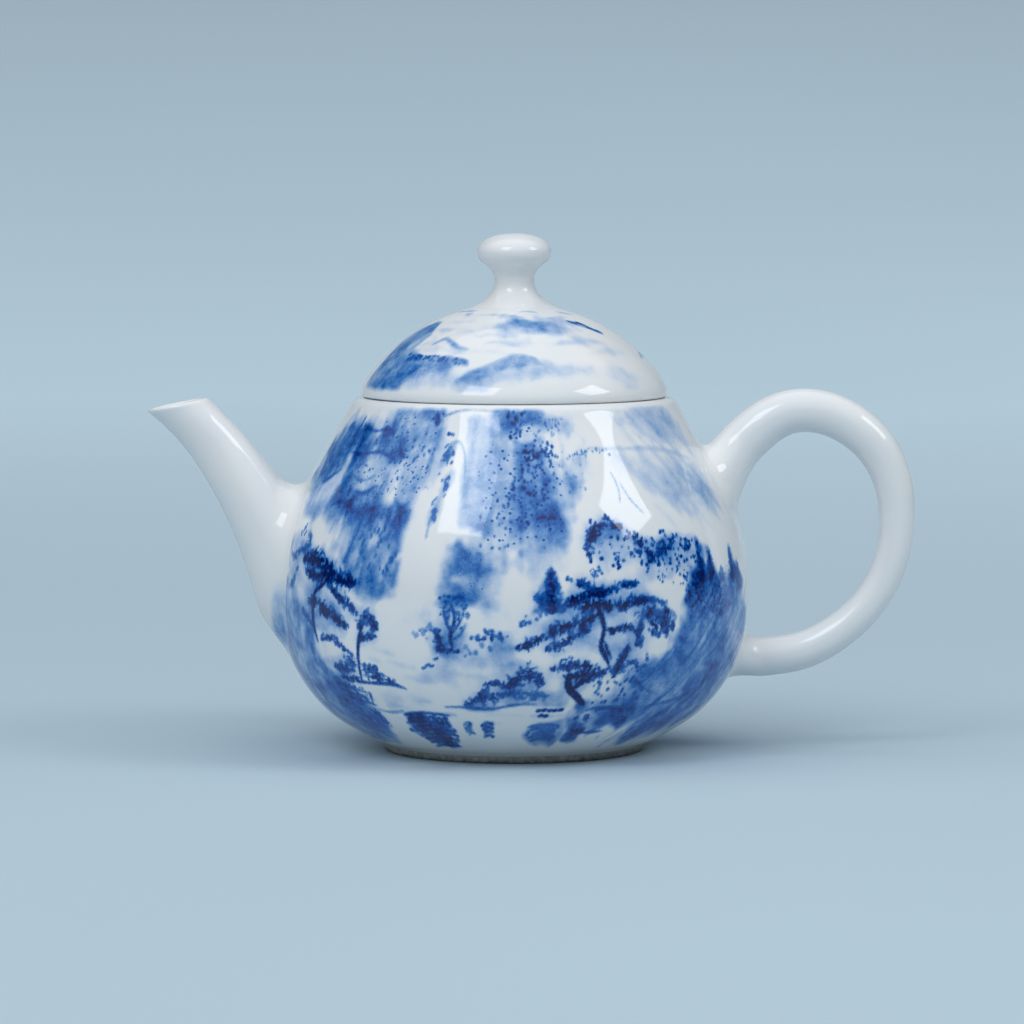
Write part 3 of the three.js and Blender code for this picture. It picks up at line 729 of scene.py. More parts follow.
def grove(sheet):
    """The small bare trees on the far bank."""
    sheet.patch([(-24, 25), (-12, 26.5), (-1, 27), (0.5, 20.5), (-9, 20), (-20, 23)], 0.2, edge=1.6,
                rough=1.0)
    sheet.patch([(-18.5, 34), (-9, 34), (-10.5, 28), (-12.5, 24), (-17, 24), (-17, 29)], 0.26, edge=1.6)
    sheet.stroke([(-14.8, 23.4), (-15.2, 26), (-14.2, 28.5), (-15, 31.5)], 0.6, 0.85)
    sheet.stroke([(-15, 26), (-16.2, 28.4), (-17, 31)], 0.5, 0.7)
    sheet.stroke([(-14.6, 26.4), (-12.8, 28.6), (-11.6, 31)], 0.45, 0.62)
    sheet.stroke([(-14.8, 25), (-12.6, 26.3), (-11.4, 28.2)], 0.4, 0.5)
    sheet.dots([(-18, 33.5), (-11, 33), (-10.5, 28.5), (-13.5, 26), (-17.5, 29)], 42, size=0.62, tone=0.6,
               tall=1.3)
    sheet.foliage([(-18.9, 27), (-18.4, 25.6), (-18.2, 23.2)], 1.2, tone=0.8, fan=1.2)
    sheet.dots([(-25, 26), (-20, 28), (-18, 27), (-19, 25), (-24, 25)], 16, size=0.8, tone=0.4)
    sheet.foliage([(-18.5, 23.1), (-15.5, 23.1), (-13.2, 22.8)], 0.8, tone=0.8, fan=1.4)
    sheet.dots([(-10.5, 25.5), (-7, 27), (-3, 26.8), (-0.8, 25.4), (-3, 24.8), (-8, 25)], 26, size=0.75,
               tone=0.7)
    sheet.dots([(-13, 24), (-2, 24.5), (-3, 21.8), (-12, 22)], 8, size=0.9, tone=0.5)
    sheet.touches([-22.5, -21.4, -19.2, -20.4], [19.6, 20.2, 21.4, 20], 1.1, 0.5, 1.2, 0.6)
    for a, z, wide in (
        (-33, 22.2, 3.0),
        (-29, 20.0, 3.5),
        (-36, 20.6, 2.0),
        (-24, 17.2, 4.0),
        (-12, 18.5, 5.0),
    ):
        sheet.stroke([(a - wide, z + 0.4), (a, z), (a + wide, z - 0.5)], 0.9, 0.13, soft=0.9, layer="wash")
    for outline, tone in (
        ([(-26, 22), (-4, 24), (4, 20), (-2, 16), (-22, 17)], 0.13),
        ([(-38, 14.6), (-20, 15.4), (-18, 12), (-36, 12)], 0.12),
        ([(-6, 32), (6, 32), (10, 27), (-2, 24), (-8, 27)], 0.1),
        ([(-30, 30), (-20, 33), (-18, 26), (-32, 25)], 0.09),
        ([(8, 26), (24, 27), (28, 22), (10, 21)], 0.16),
    ):
        sheet.patch(outline, tone, edge=2.2, mottled=0.7)


def left_pines(sheet):
    """The pines on the left slope and the trees on the bank below it."""
    sheet.patch([(-76, 41), (-60, 43.5), (-57, 38), (-50, 34), (-45, 27), (-43, 20), (-46, 16), (-58, 18),
                 (-62, 26), (-73, 33)], 0.34, edge=1.6, rough=1.6, streaky=0.2)
    sheet.lift([(-56, 25), (-44, 23.8), (-45, 19.8), (-56, 19.5), (-57.5, 22)], 0.8, edge=0.9, rough=0.8)
    sheet.lift([(-54, 33), (-40, 27.4), (-39, 29), (-50, 35)], 0.75, edge=0.6, rough=0.5)
    sheet.lift([(-69, 34.5), (-60.5, 34.6), (-60.5, 30.2), (-68, 30.5)], 0.45, edge=1.0)
    # The nearer pine: its crown, the cushions under it and its trunk.
    sheet.foliage([(-63, 37.6), (-57, 38.2), (-52, 37.4), (-48.5, 36)], 3.4, tone=0.98)
    sheet.foliage([(-54, 35.6), (-49, 35.4), (-44.5, 35), (-41.3, 34.6)], 3.0, tone=1.0)
    sheet.foliage([(-60.5, 36), (-56, 35), (-52, 35.2)], 2.4, tone=0.85)
    sheet.foliage([(-51, 34), (-46.5, 31.8), (-40.8, 29.2)], 1.9, tone=0.86)
    sheet.foliage([(-59, 30.4), (-55, 30.2), (-51, 29.4)], 2.4, tone=0.85)
    sheet.foliage([(-54, 28.8), (-49, 28.2), (-44.5, 26.6)], 2.6, tone=0.88)
    sheet.foliage([(-62.5, 28.5), (-60, 27.5), (-58, 26)], 1.4, tone=0.6)
    sheet.foliage([(-69, 38.8), (-65, 39.4), (-61.5, 41), (-63.5, 43)], 1.2, tone=0.62)
    sheet.touches([-68, -67, -65.6, -66.2], [42.4, 43.2, 42.6, 43.8], 1.4, 0.5, [-0.5, 0.2, 0.6, 0.1], 0.6)
    sheet.foliage([(-72, 38.4), (-70, 38.1), (-68, 38)], 1.0, tone=0.6)
    sheet.foliage([(-70, 32.5), (-68, 34), (-66, 36.5)], 1.3, tone=0.5)
    sheet.stroke([(-50.8, 35.4), (-53.4, 33.4), (-56, 32.2), (-57, 29), (-57, 25.8), (-56, 23)], 0.7, 0.9)
    # The smaller tree on the bank.
    sheet.stroke([(-38.6, 27.5), (-40.2, 24.6), (-41.4, 20.5), (-42, 16.4)], 0.8, 0.92)
    sheet.foliage([(-40, 26.4), (-37.5, 28.6), (-35, 27)], 2.0, tone=0.8, fan=1.3)
    sheet.dots([(-37, 29.5), (-34.5, 28.5), (-34.4, 26.2), (-37, 26)], 18, size=0.8, tone=0.8)
    sheet.foliage([(-40.6, 23.8), (-38, 24.8), (-35.4, 25)], 1.6, tone=0.82, fan=1.3)
    sheet.foliage([(-50.5, 18.5), (-47, 18.6), (-44, 18.4)], 2.4, tone=0.74, fan=1.3)
    sheet.foliage([(-49, 16.6), (-45.5, 16.6), (-42.5, 16.4)], 1.4, tone=0.8, fan=1.3)
    sheet.foliage([(-46.5, 20.8), (-44.5, 20), (-42.8, 19.2)], 1.1, tone=0.7, fan=1.2)
    sheet.dots([(-54.5, 24.6), (-49, 24.4), (-43.5, 22), (-43.3, 21), (-49.5, 23.2), (-54.5, 23.2)], 34,
               size=0.8, tone=0.75)
    sheet.stroke([(-51, 23.8), (-46, 22.6), (-42.6, 20.4)], 0.5, 0.55)
    for z, reach in ((19.2, -36), (18.1, -33.5), (17.1, -31.5)):
        sheet.stroke([(-41, z + 0.3), ((reach - 41) / 2, z), (reach, z - 0.6)], 0.65, 0.55)
        sheet.dots([(-40, z + 0.7), (reach, z), (reach, z - 0.8), (-40, z - 0.4)], 14, size=0.8, tone=0.7)
    sheet.stroke([(-44, 16), (-37, 16.1), (-30, 15.7), (-28.6, 15.3)], 0.8, 0.72)


def left_slope(sheet):
    """The dark slope that runs round to the spout."""
    sheet.patch([(-84, 36), (-72, 34), (-63, 29), (-57.5, 22), (-55, 17), (-46, 14.5), (-40, 12.5),
                 (-41, 8.5), (-44, 5.5), (-54, 4), (-70, 5), (-86, 9), (-88, 24)], 0.56, edge=1.8,
                rough=1.8, streaky=0.2, mottled=0.4)
    sheet.patch([(-64, 16), (-52, 13.5), (-41.5, 11), (-42, 7), (-50, 5), (-62, 5.5), (-68, 10)], 0.42,
                edge=1.4)
    sheet.patch([(-70, 10), (-58, 11.4), (-45, 11.5), (-40, 9), (-42, 5.5), (-48, 3), (-60, 2.6), (-72, 4)],
                0.42, edge=1.2, rough=1.0)
    sheet.lift([(-92, 18), (-76, 14), (-72, 4), (-84, 3), (-97, 8)], 0.4, edge=2.4)
    for _ in range(22):
        a, z = sheet.draw.uniform(-78, -48), sheet.draw.uniform(4, 26)
        z = min(z, -0.55 * a - 12)
        sheet.stroke([(a - 5, z + 2.6), (a, z), (a + 5.5, z - 2.0)], 0.9, sheet.draw.uniform(0.15, 0.4),
                     soft=0.7, layer="wash")
    for z in (15.4, 14.2, 13.2):
        sheet.stroke([(-52, z), (-47, z - 0.8), (-40.5, z - 1.6)], 0.55, 0.5)
        sheet.dots([(-50, z + 0.3), (-41, z - 0.9), (-41, z - 1.7), (-50, z - 0.6)], 14, size=0.7, tone=0.6)
    sheet.foliage([(-44, 10.6), (-42, 9.6), (-41, 8)], 2.0, tone=0.6)
    sheet.stroke([(-41, 10.8), (-36.5, 10.4), (-32, 10.9)], 0.5, 0.35)
    for z in (31, 29.4):
        sheet.stroke([(-94, z - 0.8), (-84, z), (-74, z - 1.0)], 1.2, 0.5, soft=0.8, layer="wash")
    sheet.patch([(-96, 23.5), (-82, 24), (-76, 22), (-80, 20), (-96, 20)], 0.45, edge=1.0)


def rock(sheet, azimuth, height, wide, tall, tone):
    """A rock in the water: a rough wash hatched with level strokes, darker along its edge."""
    left, right = azimuth - wide / 2, azimuth + wide / 2
    shape = [
        (left, height + 0.4 * tall),
        (left + 0.2 * wide, height + 0.9 * tall),
        (right - 0.1 * wide, height + tall),
        (right, height + 0.5 * tall),
        (right - 0.15 * wide, height),
        (left + 0.45 * wide, height + 0.05 * tall),
    ]
    sheet.patch(shape, tone, edge=0.7, rough=0.8)
    rows = int(tall / 0.9) + 1
    for i in range(rows):
        z = height + tall * (i + 0.5) / rows
        start = left + wide * sheet.draw.uniform(0.05, 0.3)
        end = right - wide * sheet.draw.uniform(0.0, 0.2)
        sheet.stroke([(start, z - 0.3), ((start + end) / 2, z + 0.3), (end, z)], 0.7, tone)
    count = int(1.3 * wide * tall * sheet.degree)
    sheet.dots(shape, count, size=0.85, tone=0.6 * tone + 0.3, tall=1.0)


def water(sheet, start, end, low, high, count):
    """Faint level strokes of water."""
    for _ in range(count):
        a, z = sheet.draw.uniform(start, end), sheet.draw.uniform(low, high)
        reach = sheet.draw.uniform(2, 6)
        sheet.stroke([(a - reach, z), (a, z + 0.15), (a + reach, z - 0.1)], 0.6,
                     sheet.draw.uniform(0.06, 0.2), soft=0.5, layer="wash")


def shore(sheet):
    """The rocks in the water, and the islet with its bushes."""
    rock(sheet, -26, 3.2, 17, 7.6, 0.66)
    rock(sheet, -13.5, 6.3, 3.2, 2.8, 0.36)
    rock(sheet, -8, 5.8, 4.2, 3.4, 0.55)
    rock(sheet, 8.5, 5.2, 11, 3.6, 0.36)
    water(sheet, -35, 22, 8.5, 13, 16)
    sheet.patch([(-18.5, 12), (-12, 12.4), (-9, 15), (-5, 17.4), (-1.5, 16), (3, 19.5), (7, 16), (12, 14.6),
                 (12, 12.8), (2, 12.8), (-8, 11.8)], 0.3, edge=0.8, rough=1.0)
    sheet.stroke([(-18.8, 12.1), (-13, 12.2), (-6, 12), (0, 12.8), (6, 12.9)], 0.6, 0.5)
    sheet.foliage([(-13, 12.8), (-9.5, 14), (-6.5, 16.2)], 1.3, tone=0.72, lean=0.9, fan=0.6)
    sheet.foliage([(-9, 13.4), (-5, 14.4), (-2, 14.6)], 1.8, tone=0.75, lean=0.5)
    sheet.foliage([(-7, 16.6), (-4, 17), (-1.5, 15.8)], 1.1, tone=0.74)
    sheet.foliage([(-1.6, 16.2), (1, 18), (4, 18.6), (6.8, 17.2)], 3.4, tone=0.8, fan=1.3)
    sheet.foliage([(-1, 15), (3, 14.6), (8, 14.6)], 1.8, tone=0.5, fan=1.3)
    sheet.touches([6.5, 8, 9.6, 11, 12.6, 7.2, 8.6], [11.6, 11.7, 11.6, 11.6, 11.7, 10.6, 10.5], 1.2, 0.65,
                  1.4, 0.8)


def fir(sheet, azimuth, low, high, wide, tone=0.8):
    """A fir: rows of touches that widen downwards."""
    tall = high - low
    sheet.patch([(azimuth - wide / 2, low), (azimuth, high), (azimuth + wide / 2, low)], 0.45 * tone,
                edge=0.6, rough=0.7)
    count = int(8 * wide * tall * sheet.degree / 2)
    down = sheet.draw.uniform(0, 1, count) ** 0.6
    side = np.clip(sheet.draw.normal(0, 0.42, count), -1, 1)
    length = sheet.draw.uniform(0.6, 1.1, count)
    dark = tone * (1.1 - 0.8 * np.abs(side)) * sheet.draw.uniform(0.4, 1.0, count)
    sheet.touches(azimuth + side * (0.15 + 0.85 * down) * wide / 2, high - down * tall, length, 0.55,
                  1.4 * side, np.clip(dark, 0, 1))
    sheet.stroke([(azimuth, low), (azimuth, high - 0.2 * tall)], 0.5, 0.4 * tone)


def great_pine(sheet, azimuth=0.0, height=0.0):
    """The old pine on the bank, at its own place or moved by azimuth and height."""
    def moved(points):
        """Points moved by azimuth and height."""
        return [(a + azimuth, z + height) for a, z in points]

    sheet.patch(moved([(0, 25), (8, 29), (14, 34), (28, 36), (38, 31), (41, 26), (33, 19), (24, 16),
                       (12, 17), (22, 22), (10, 24.5)]), 0.2, edge=1.6, rough=1.6)
    cushions = [
        ([(12.5, 31.5), (17, 33), (22, 33.8)], 2.8, 0.92),
        ([(15, 35.2), (18.5, 34.6), (21, 33)], 1.6, 0.8),
        ([(16, 30.6), (20, 31.6), (23, 30.6)], 2.0, 1.0),
        ([(20.5, 33), (25, 34.6), (30, 35)], 1.5, 0.85),
        ([(21, 31), (27, 31.2), (33.5, 32)], 1.7, 0.92),
        ([(28, 32.4), (33, 32.2), (38, 31)], 1.2, 0.55),
        ([(19, 29), (14, 27.8), (8.5, 27)], 2.2, 0.92),
        ([(10, 26.6), (6, 25.2), (1.2, 23.7)], 1.7, 0.9),
        ([(17.5, 27.4), (12, 24.6), (7.5, 23.4)], 1.7, 0.82),
        ([(23.2, 26.2), (26, 27), (29.6, 26.4)], 1.5, 0.92),
        ([(30, 29.5), (34, 28.8), (37.5, 29.6)], 1.6, 0.5),
        ([(31.5, 28.2), (31, 26), (31.5, 23.6)], 2.4, 0.74),
        ([(36, 28.5), (39, 28.4), (41.5, 28.2)], 1.6, 0.62),
        ([(37, 26.4), (39.5, 26.2)], 1.2, 0.6),
        ([(28.5, 23.4), (26.5, 21), (25, 18)], 2.0, 0.8),
        ([(24.5, 19.4), (28, 19.6), (30.5, 20.4)], 1.6, 0.66),
        ([(9, 19.6), (13.5, 20.4), (18.5, 20)], 1.8, 0.84),
        ([(12.5, 18.2), (17, 18.6), (21, 19.6)], 1.5, 0.85),
        ([(15, 17.2), (19, 17.6), (23, 18.8)], 1.0, 0.8),
    ]
    for line, thick, tone in cushions:
        sheet.foliage(moved(line), thick, tone=tone, fan=0.7)
    sheet.dots(moved([(32, 31), (42, 29), (41, 25), (34, 25)]), 34, size=0.85, tone=0.82, tall=1.8)
    sheet.dots(moved([(0.8, 29), (6, 31), (8, 29.6), (2, 26.4)]), 18, size=0.7, tone=0.55)
    for trunk, width in (
        ([(19.4, 31.8), (20.8, 29.4), (21.6, 26.6), (21, 23.6), (22.6, 21.4), (23.6, 19.6)], 0.85),
        ([(21.8, 24.6), (23, 22.6), (24, 21.2)], 0.45),
        ([(13.4, 18.8), (13.8, 16), (15.6, 14.6), (18.6, 12.6)], 1.1),
        ([(14.4, 15.6), (17.4, 17.2), (20.5, 18.6), (24, 19.6)], 0.65),
        ([(15.4, 27.8), (18.6, 29), (20.6, 29.8)], 0.45),
        ([(21.6, 27), (24, 26.8), (27, 26.6)], 0.4),
    ):
        sheet.stroke(moved(trunk), width, 0.95)


def right_ridge(sheet):
    """The ridge behind the great pine, with its firs."""
    sheet.patch([(17.5, 39), (19, 44), (24, 46.8), (28, 45.6), (33, 43.5), (41, 43.6), (49, 42), (54, 39.5),
                 (50, 35), (42, 36), (34, 35.6), (29, 38), (22, 36.6)], 0.22, edge=1.6, rough=1.2)
    for outline in (
        [(31, 42.6), (36, 43), (38, 40), (35, 38.4), (31, 39.6)],
        [(37, 42), (45, 43), (49, 40), (40, 38)],
        [(19, 44.6), (26, 46), (27, 44.4), (21, 42), (18.4, 40.6)],
    ):
        sheet.patch(outline, 0.34, edge=1.2, rough=0.8)
    sheet.foliage([(18.4, 40.2), (18.6, 43.2), (20.6, 45), (24, 45.8), (27.4, 45)], 1.5, tone=0.88, fan=1.0)
    sheet.foliage([(19, 43.2), (21, 44)], 1.5, tone=0.9)
    sheet.touches([18.6, 18.2, 19.6, 27.8, 23.8, 24.6], [39.4, 40.6, 46.4, 45.4, 47.2, 46.8], 1.0, 0.55,
                  0.3, 0.85)
    sheet.dots([(20, 43), (30, 44.6), (34, 40.6), (26, 37.6), (21, 37.4)], 44, size=0.6, tone=0.85,
               tall=1.2)
    sheet.dots([(28, 44), (40, 44.6), (50, 42.5), (52, 38.4), (32, 38)], 90, size=0.6, tone=0.85, tall=1.3)
    sheet.dots([(32, 38.5), (50, 38.4), (46, 34), (35, 35)], 34, size=0.55, tone=0.75, tall=1.3)
    sheet.dots([(12, 36.6), (22, 38.6), (21, 35.4), (12, 35)], 20, size=0.6, tone=0.65)
    for a, z in ((34.6, 40.4), (35.6, 39.4), (37.6, 40), (39.6, 41.2), (42.6, 42.2), (47.6, 41.2)):
        sheet.foliage([(a - 0.4, z - 0.9), (a + 0.2, z + 0.9)], 1.0, tone=0.85)
    fir(sheet, 51.4, 34, 41.8, 5.0, 0.95)
    fir(sheet, 55.6, 34.6, 40.0, 4.6, 0.88)
    fir(sheet, 60.6, 34, 37.4, 3.4, 0.7)
    fir(sheet, 66.6, 34, 39.8, 5.0, 0.7)
    fir(sheet, 71, 32, 37, 5, 0.6)


def right_slope(sheet):
    """The dark grassy slope that runs round to the handle."""
    sheet.patch([(44, 33.5), (48, 36), (56, 36.6), (66, 36), (74, 33), (79, 26), (80, 15), (74, 9), (62, 5),
                 (44, 2.8), (33, 3.6), (36, 7), (30, 8.4), (20, 6.6), (17, 8.8), (19, 12), (22, 16),
                 (30, 20.5), (38, 23.4), (43, 27)], 0.68, edge=1.4, rough=1.5, streaky=0.12, mottled=0.35)
    for outline, tone, edge in (
        ([(44, 34), (58, 35), (60, 29), (45, 28.6)], 0.34, 1.4),
        ([(19, 12.4), (30, 12), (38, 11.6), (33, 8), (24, 6.6), (18, 7.4)], 0.5, 0.9),
        ([(33, 4.6), (38, 7.6), (46, 11.8), (58, 14.6), (62, 10), (54, 5.4), (42, 2.8)], 0.5, 1.2),
        ([(38, 22), (50, 21), (60, 15), (50, 12.6), (38, 14), (30, 17)], 0.3, 1.8),
        ([(58, 24), (70, 21), (74, 13), (64, 12)], 0.3, 2.0),
        ([(20, 16), (28, 19), (34, 17), (28, 14), (20, 13)], 0.36, 1.0),
    ):
        sheet.patch(outline, tone, edge=edge)
    sheet.lift([(29, 5.6), (33.5, 6.4), (38, 9.2), (44, 13.6), (47, 16), (45.6, 13), (40, 9.2), (35.6, 6.4),
                (31, 4.6)], 0.72, edge=0.7, rough=0.5)
    sheet.lift([(50.5, 23.5), (54, 25.6), (53.6, 21.4), (51, 21)], 0.42, edge=1.0, rough=0.6)
    sheet.lift([(33, 21), (38, 24), (40, 22), (34, 19.4)], 0.55, edge=0.8)
    sheet.lift([(68, 9), (84, 16), (88, 6), (72, 3)], 0.45, edge=2.2)
    sheet.patch([(33, 3.2), (38, 5.4), (46, 8.5), (58, 11), (67, 9), (65, 5), (56, 2.8), (44, 2.2)], 0.5,
                edge=0.9)
    sheet.patch([(18, 7), (23, 9.4), (27, 12), (34, 13), (36, 10), (30, 8), (24, 6.4)], 0.5, edge=0.7)
    # Long grass combed downhill: bare strokes, then dark ones.
    for layer, count, tone in (("bare", 46, 0.26), ("wash", 60, 0.3)):
        for _ in range(count):
            a, z = sheet.draw.uniform(32, 76), sheet.draw.uniform(5, 33)
            if z > 0.9 * a - 14:
                continue
            reach = sheet.draw.uniform(2.5, 6)
            blade = [(a - reach, z - 0.75 * reach), (a, z + 0.3), (a + reach, z + 0.95 * reach)]
            width = sheet.draw.uniform(0.3, 0.8)
            sheet.stroke(blade, width, tone * sheet.draw.uniform(0.5, 1.3), soft=0.4, layer=layer)
    for a, z, wide in (
        (48, 10.6, 0.9),
        (42, 12.6, 0.7),
        (36, 17.5, 0.5),
        (60, 22, 0.5),
        (63, 26, 0.5),
        (68, 18, 0.6),
    ):
        sheet.stroke([(a - 5, z - 2.2), (a, z), (a + 4.5, z + 3)], wide, 0.42, soft=0.5)
    sheet.stroke([(31, 17.4), (34, 15.8), (38, 14.2)], 0.5, 0.5)
    sheet.stroke([(39, 11.6), (46, 12), (53, 13)], 0.9, 0.5, soft=0.6)
    sheet.stroke([(20, 11.6), (25, 11.8), (30, 11.4)], 0.9, 0.5)
    sheet.stroke([(17.5, 7.1), (22, 6.8), (28, 6.9)], 0.8, 0.6)
    sheet.foliage([(18.6, 7.6), (21, 7.2)], 1.2, tone=0.75)
    sheet.dots([(44, 36), (62, 36), (60, 28), (46, 27.5)], 60, size=0.6, tone=0.68, tall=1.5)
    sheet.pepper([(44, 37), (70, 37), (68, 27), (45, 28)], 0.55)
    sheet.dots([(20, 17), (34, 18), (36, 13), (20, 12.6)], 40, size=0.7, tone=0.68)
    sheet.dots([(30, 21), (35, 22), (33, 18.5), (29, 18)], 16, size=0.6, tone=0.6)
    sheet.dots([(17, 11), (23, 12), (23, 7), (17, 8)], 16, size=0.7, tone=0.6)
    sheet.dots([(45, 33), (50, 36.6), (52, 32), (47.5, 29.5)], 26, size=0.8, tone=0.82)


def far_hills(sheet):
    """Pale hills in the mist on the handle's side, with rain drifting down across them."""
    for outline, tone in (
        ([(27, 58.8), (36, 59.2), (48, 58.6), (64, 56.4), (72, 51), (66, 47), (54, 48.6), (44, 52),
          (34, 55.6)], 0.11),
        ([(32, 65.6), (48, 66.8), (68, 66), (78, 61), (66, 60), (50, 61), (38, 62.4)], 0.2),
        ([(44, 55), (60, 54), (66, 46), (54, 47)], 0.07),
    ):
        sheet.patch(outline, tone, edge=2.8, rough=1.6, mottled=0.4)
    for _ in range(34):
        a, z = sheet.draw.uniform(36, 76), sheet.draw.uniform(46, 65)
        reach = sheet.draw.uniform(2, 6)
        sheet.stroke([(a - reach, z + 0.7 * reach), (a, z), (a + reach, z - 0.9 * reach)], 1.1,
                     sheet.draw.uniform(0.03, 0.11), soft=0.8, layer="wash")
    sheet.stroke([(24, 59.4), (30, 59.2), (40, 59), (52, 58.4), (64, 56.4)], 0.7, 0.2, soft=0.6,
                 layer="wash")


def back_scene(sheet):
    """The side that faces away: the same hills, trees and water carried on round the pot."""
    sheet.patch([(98, 44), (106, 55), (116, 62), (130, 65.5), (146, 63), (156, 54), (160, 44), (148, 38),
                 (128, 36), (110, 38)], 0.38, edge=1.6, rough=2.2, streaky=0.2)
    sheet.patch([(112, 58), (124, 62), (128, 54), (118, 48)], 0.5, edge=1.4)
    sheet.patch([(134, 60), (146, 58), (150, 50), (138, 46)], 0.4, edge=1.4)
    sheet.patch([(120, 46), (140, 45), (138, 38), (122, 38)], 0.3, edge=1.8, streaky=0.5)
    sheet.lift([(128, 57), (136, 56), (134, 48), (128, 48)], 0.5)
    sheet.pepper([(106, 55), (130, 64), (152, 58), (156, 46), (112, 42)], 0.55)
    sheet.patch([(-164, 46), (-156, 58), (-144, 64.5), (-124, 65.5), (-106, 64), (-98, 58), (-108, 48),
                 (-126, 42), (-148, 40)], 0.3, edge=2.0, rough=2.4, streaky=0.25)
    sheet.patch([(-150, 58), (-138, 61), (-134, 50), (-146, 48)], 0.42, edge=1.4)
    sheet.patch([(-126, 62), (-112, 61), (-112, 54), (-124, 52)], 0.4, edge=1.4)
    sheet.pepper([(-156, 57), (-130, 63), (-104, 60), (-116, 48), (-150, 44)], 0.5)
    sheet.patch([(80, 17), (92, 24), (104, 31), (118, 32), (132, 25), (140, 15), (132, 6), (108, 3.4),
                 (88, 5)], 0.4, edge=1.8, rough=1.8, streaky=0.15)
    sheet.patch([(100, 14), (120, 17), (126, 9), (110, 5)], 0.42, edge=1.4)
    sheet.patch([(-176, 6), (-172, 22), (-160, 31), (-146, 34), (-132, 30), (-118, 26), (-100, 25),
                 (-92, 18), (-96, 7), (-120, 3.6), (-150, 3.4)], 0.36, edge=1.8, rough=1.8, streaky=0.15)
    sheet.patch([(-150, 15), (-128, 17), (-118, 9), (-140, 5)], 0.42, edge=1.4)
    sheet.lift([(-132, 12), (-116, 20), (-112, 18), (-128, 9)], 0.55, edge=0.9)
    great_pine(sheet, azimuth=84, height=2)
    great_pine(sheet, azimuth=-178, height=4)
    for a, low, high, wide in (
        (140, 27, 34, 6),
        (146, 26, 31.5, 5),
        (-126, 29, 37, 6),
        (-120, 27, 33, 5),
        (-112, 26, 31, 5),
    ):
        fir(sheet, a, low, high, wide)
    sheet.dots([(-122, 33), (-96, 30), (-94, 26), (-120, 28)], 60, size=0.8, tone=0.7, tall=1.4)
    sheet.dots([(122, 33), (150, 28), (152, 24), (124, 28)], 60, size=0.8, tone=0.7, tall=1.4)
    rock(sheet, 152, 5, 14, 5.4, 0.6)
    rock(sheet, 166, 9, 5, 3, 0.5)
    rock(sheet, 176, 4.6, 8, 3.6, 0.45)
    water(sheet, 140, 200, 7, 15, 20)
    # Far hills and water between the two shores.
    sheet.patch([(150, 38), (158, 43), (166, 49), (173, 53), (181, 49), (188, 44), (197, 47), (206, 42),
                 (200, 38), (176, 36)], 0.24, edge=1.6, rough=1.3, streaky=0.3)
    sheet.patch([(160, 46), (168, 49.5), (173, 52.6), (178, 50), (174, 44), (164, 42)], 0.3, edge=1.2,
                streaky=0.3)
    sheet.dots([(160, 44), (173, 52), (184, 46), (180, 41), (164, 40)], 26, size=0.55, tone=0.5)
    water(sheet, 138, 205, 12, 30, 30)
    sheet.stroke([(150, 33), (162, 33.6), (178, 33.2), (196, 33.8)], 0.8, 0.3, soft=0.8, layer="wash")


def clear_roots(sheet):
    """Keeps the cobalt off the places where the handle is luted on."""
    turn = np.linspace(0, 2 * np.pi, 24, endpoint=False)
    for low, high, side in ((41.5, 61.0, 20), (12.5, 24.0, 13)):
        middle, half = (low + high) / 2, (high - low) / 2
        ring = np.column_stack([90 + side * np.sin(turn), middle + half * np.cos(turn)])
        sheet.lift(ring, 0.95, edge=1.6, rough=0.8)


VEIL = 0.03  # the trace of cobalt that the whole pot carries
LID_THINNING = 0.9  # how strong the lid's washes are beside the pot's


def paint_pot():
    """The whole landscape round the pot, from the far parts to the near."""
    sheet = Sheet(low=0.0, high=70.0, degree=0.74, seed=11)
    left_cliff(sheet)
    middle_mountain(sheet)
    waterfall(sheet)
    far_hills(sheet)
    grove(sheet)
    left_slope(sheet)
    left_pines(sheet)
    right_slope(sheet)
    right_ridge(sheet)
    shore(sheet)
    fir(sheet, 8.8, 30.2, 38.4, 9, 0.92)
    sheet.foliage([(5, 33.4), (6.5, 32), (7, 30.8)], 1.6, tone=0.6)
    great_pine(sheet)
    back_scene(sheet)
    clear_roots(sheet)
    sheet.wash = 1 - (1 - VEIL) * (1 - sheet.wash)
    # The bands at the rim and above the foot stay white.
    sheet.finish(smooth_step(67.0, 65.6, sheet.height) * smooth_step(2.2, 3.6, sheet.height))
    return sheet


# ---- The landscape on the lid, in (degrees from the front towards the handle, mm from the axis) ----

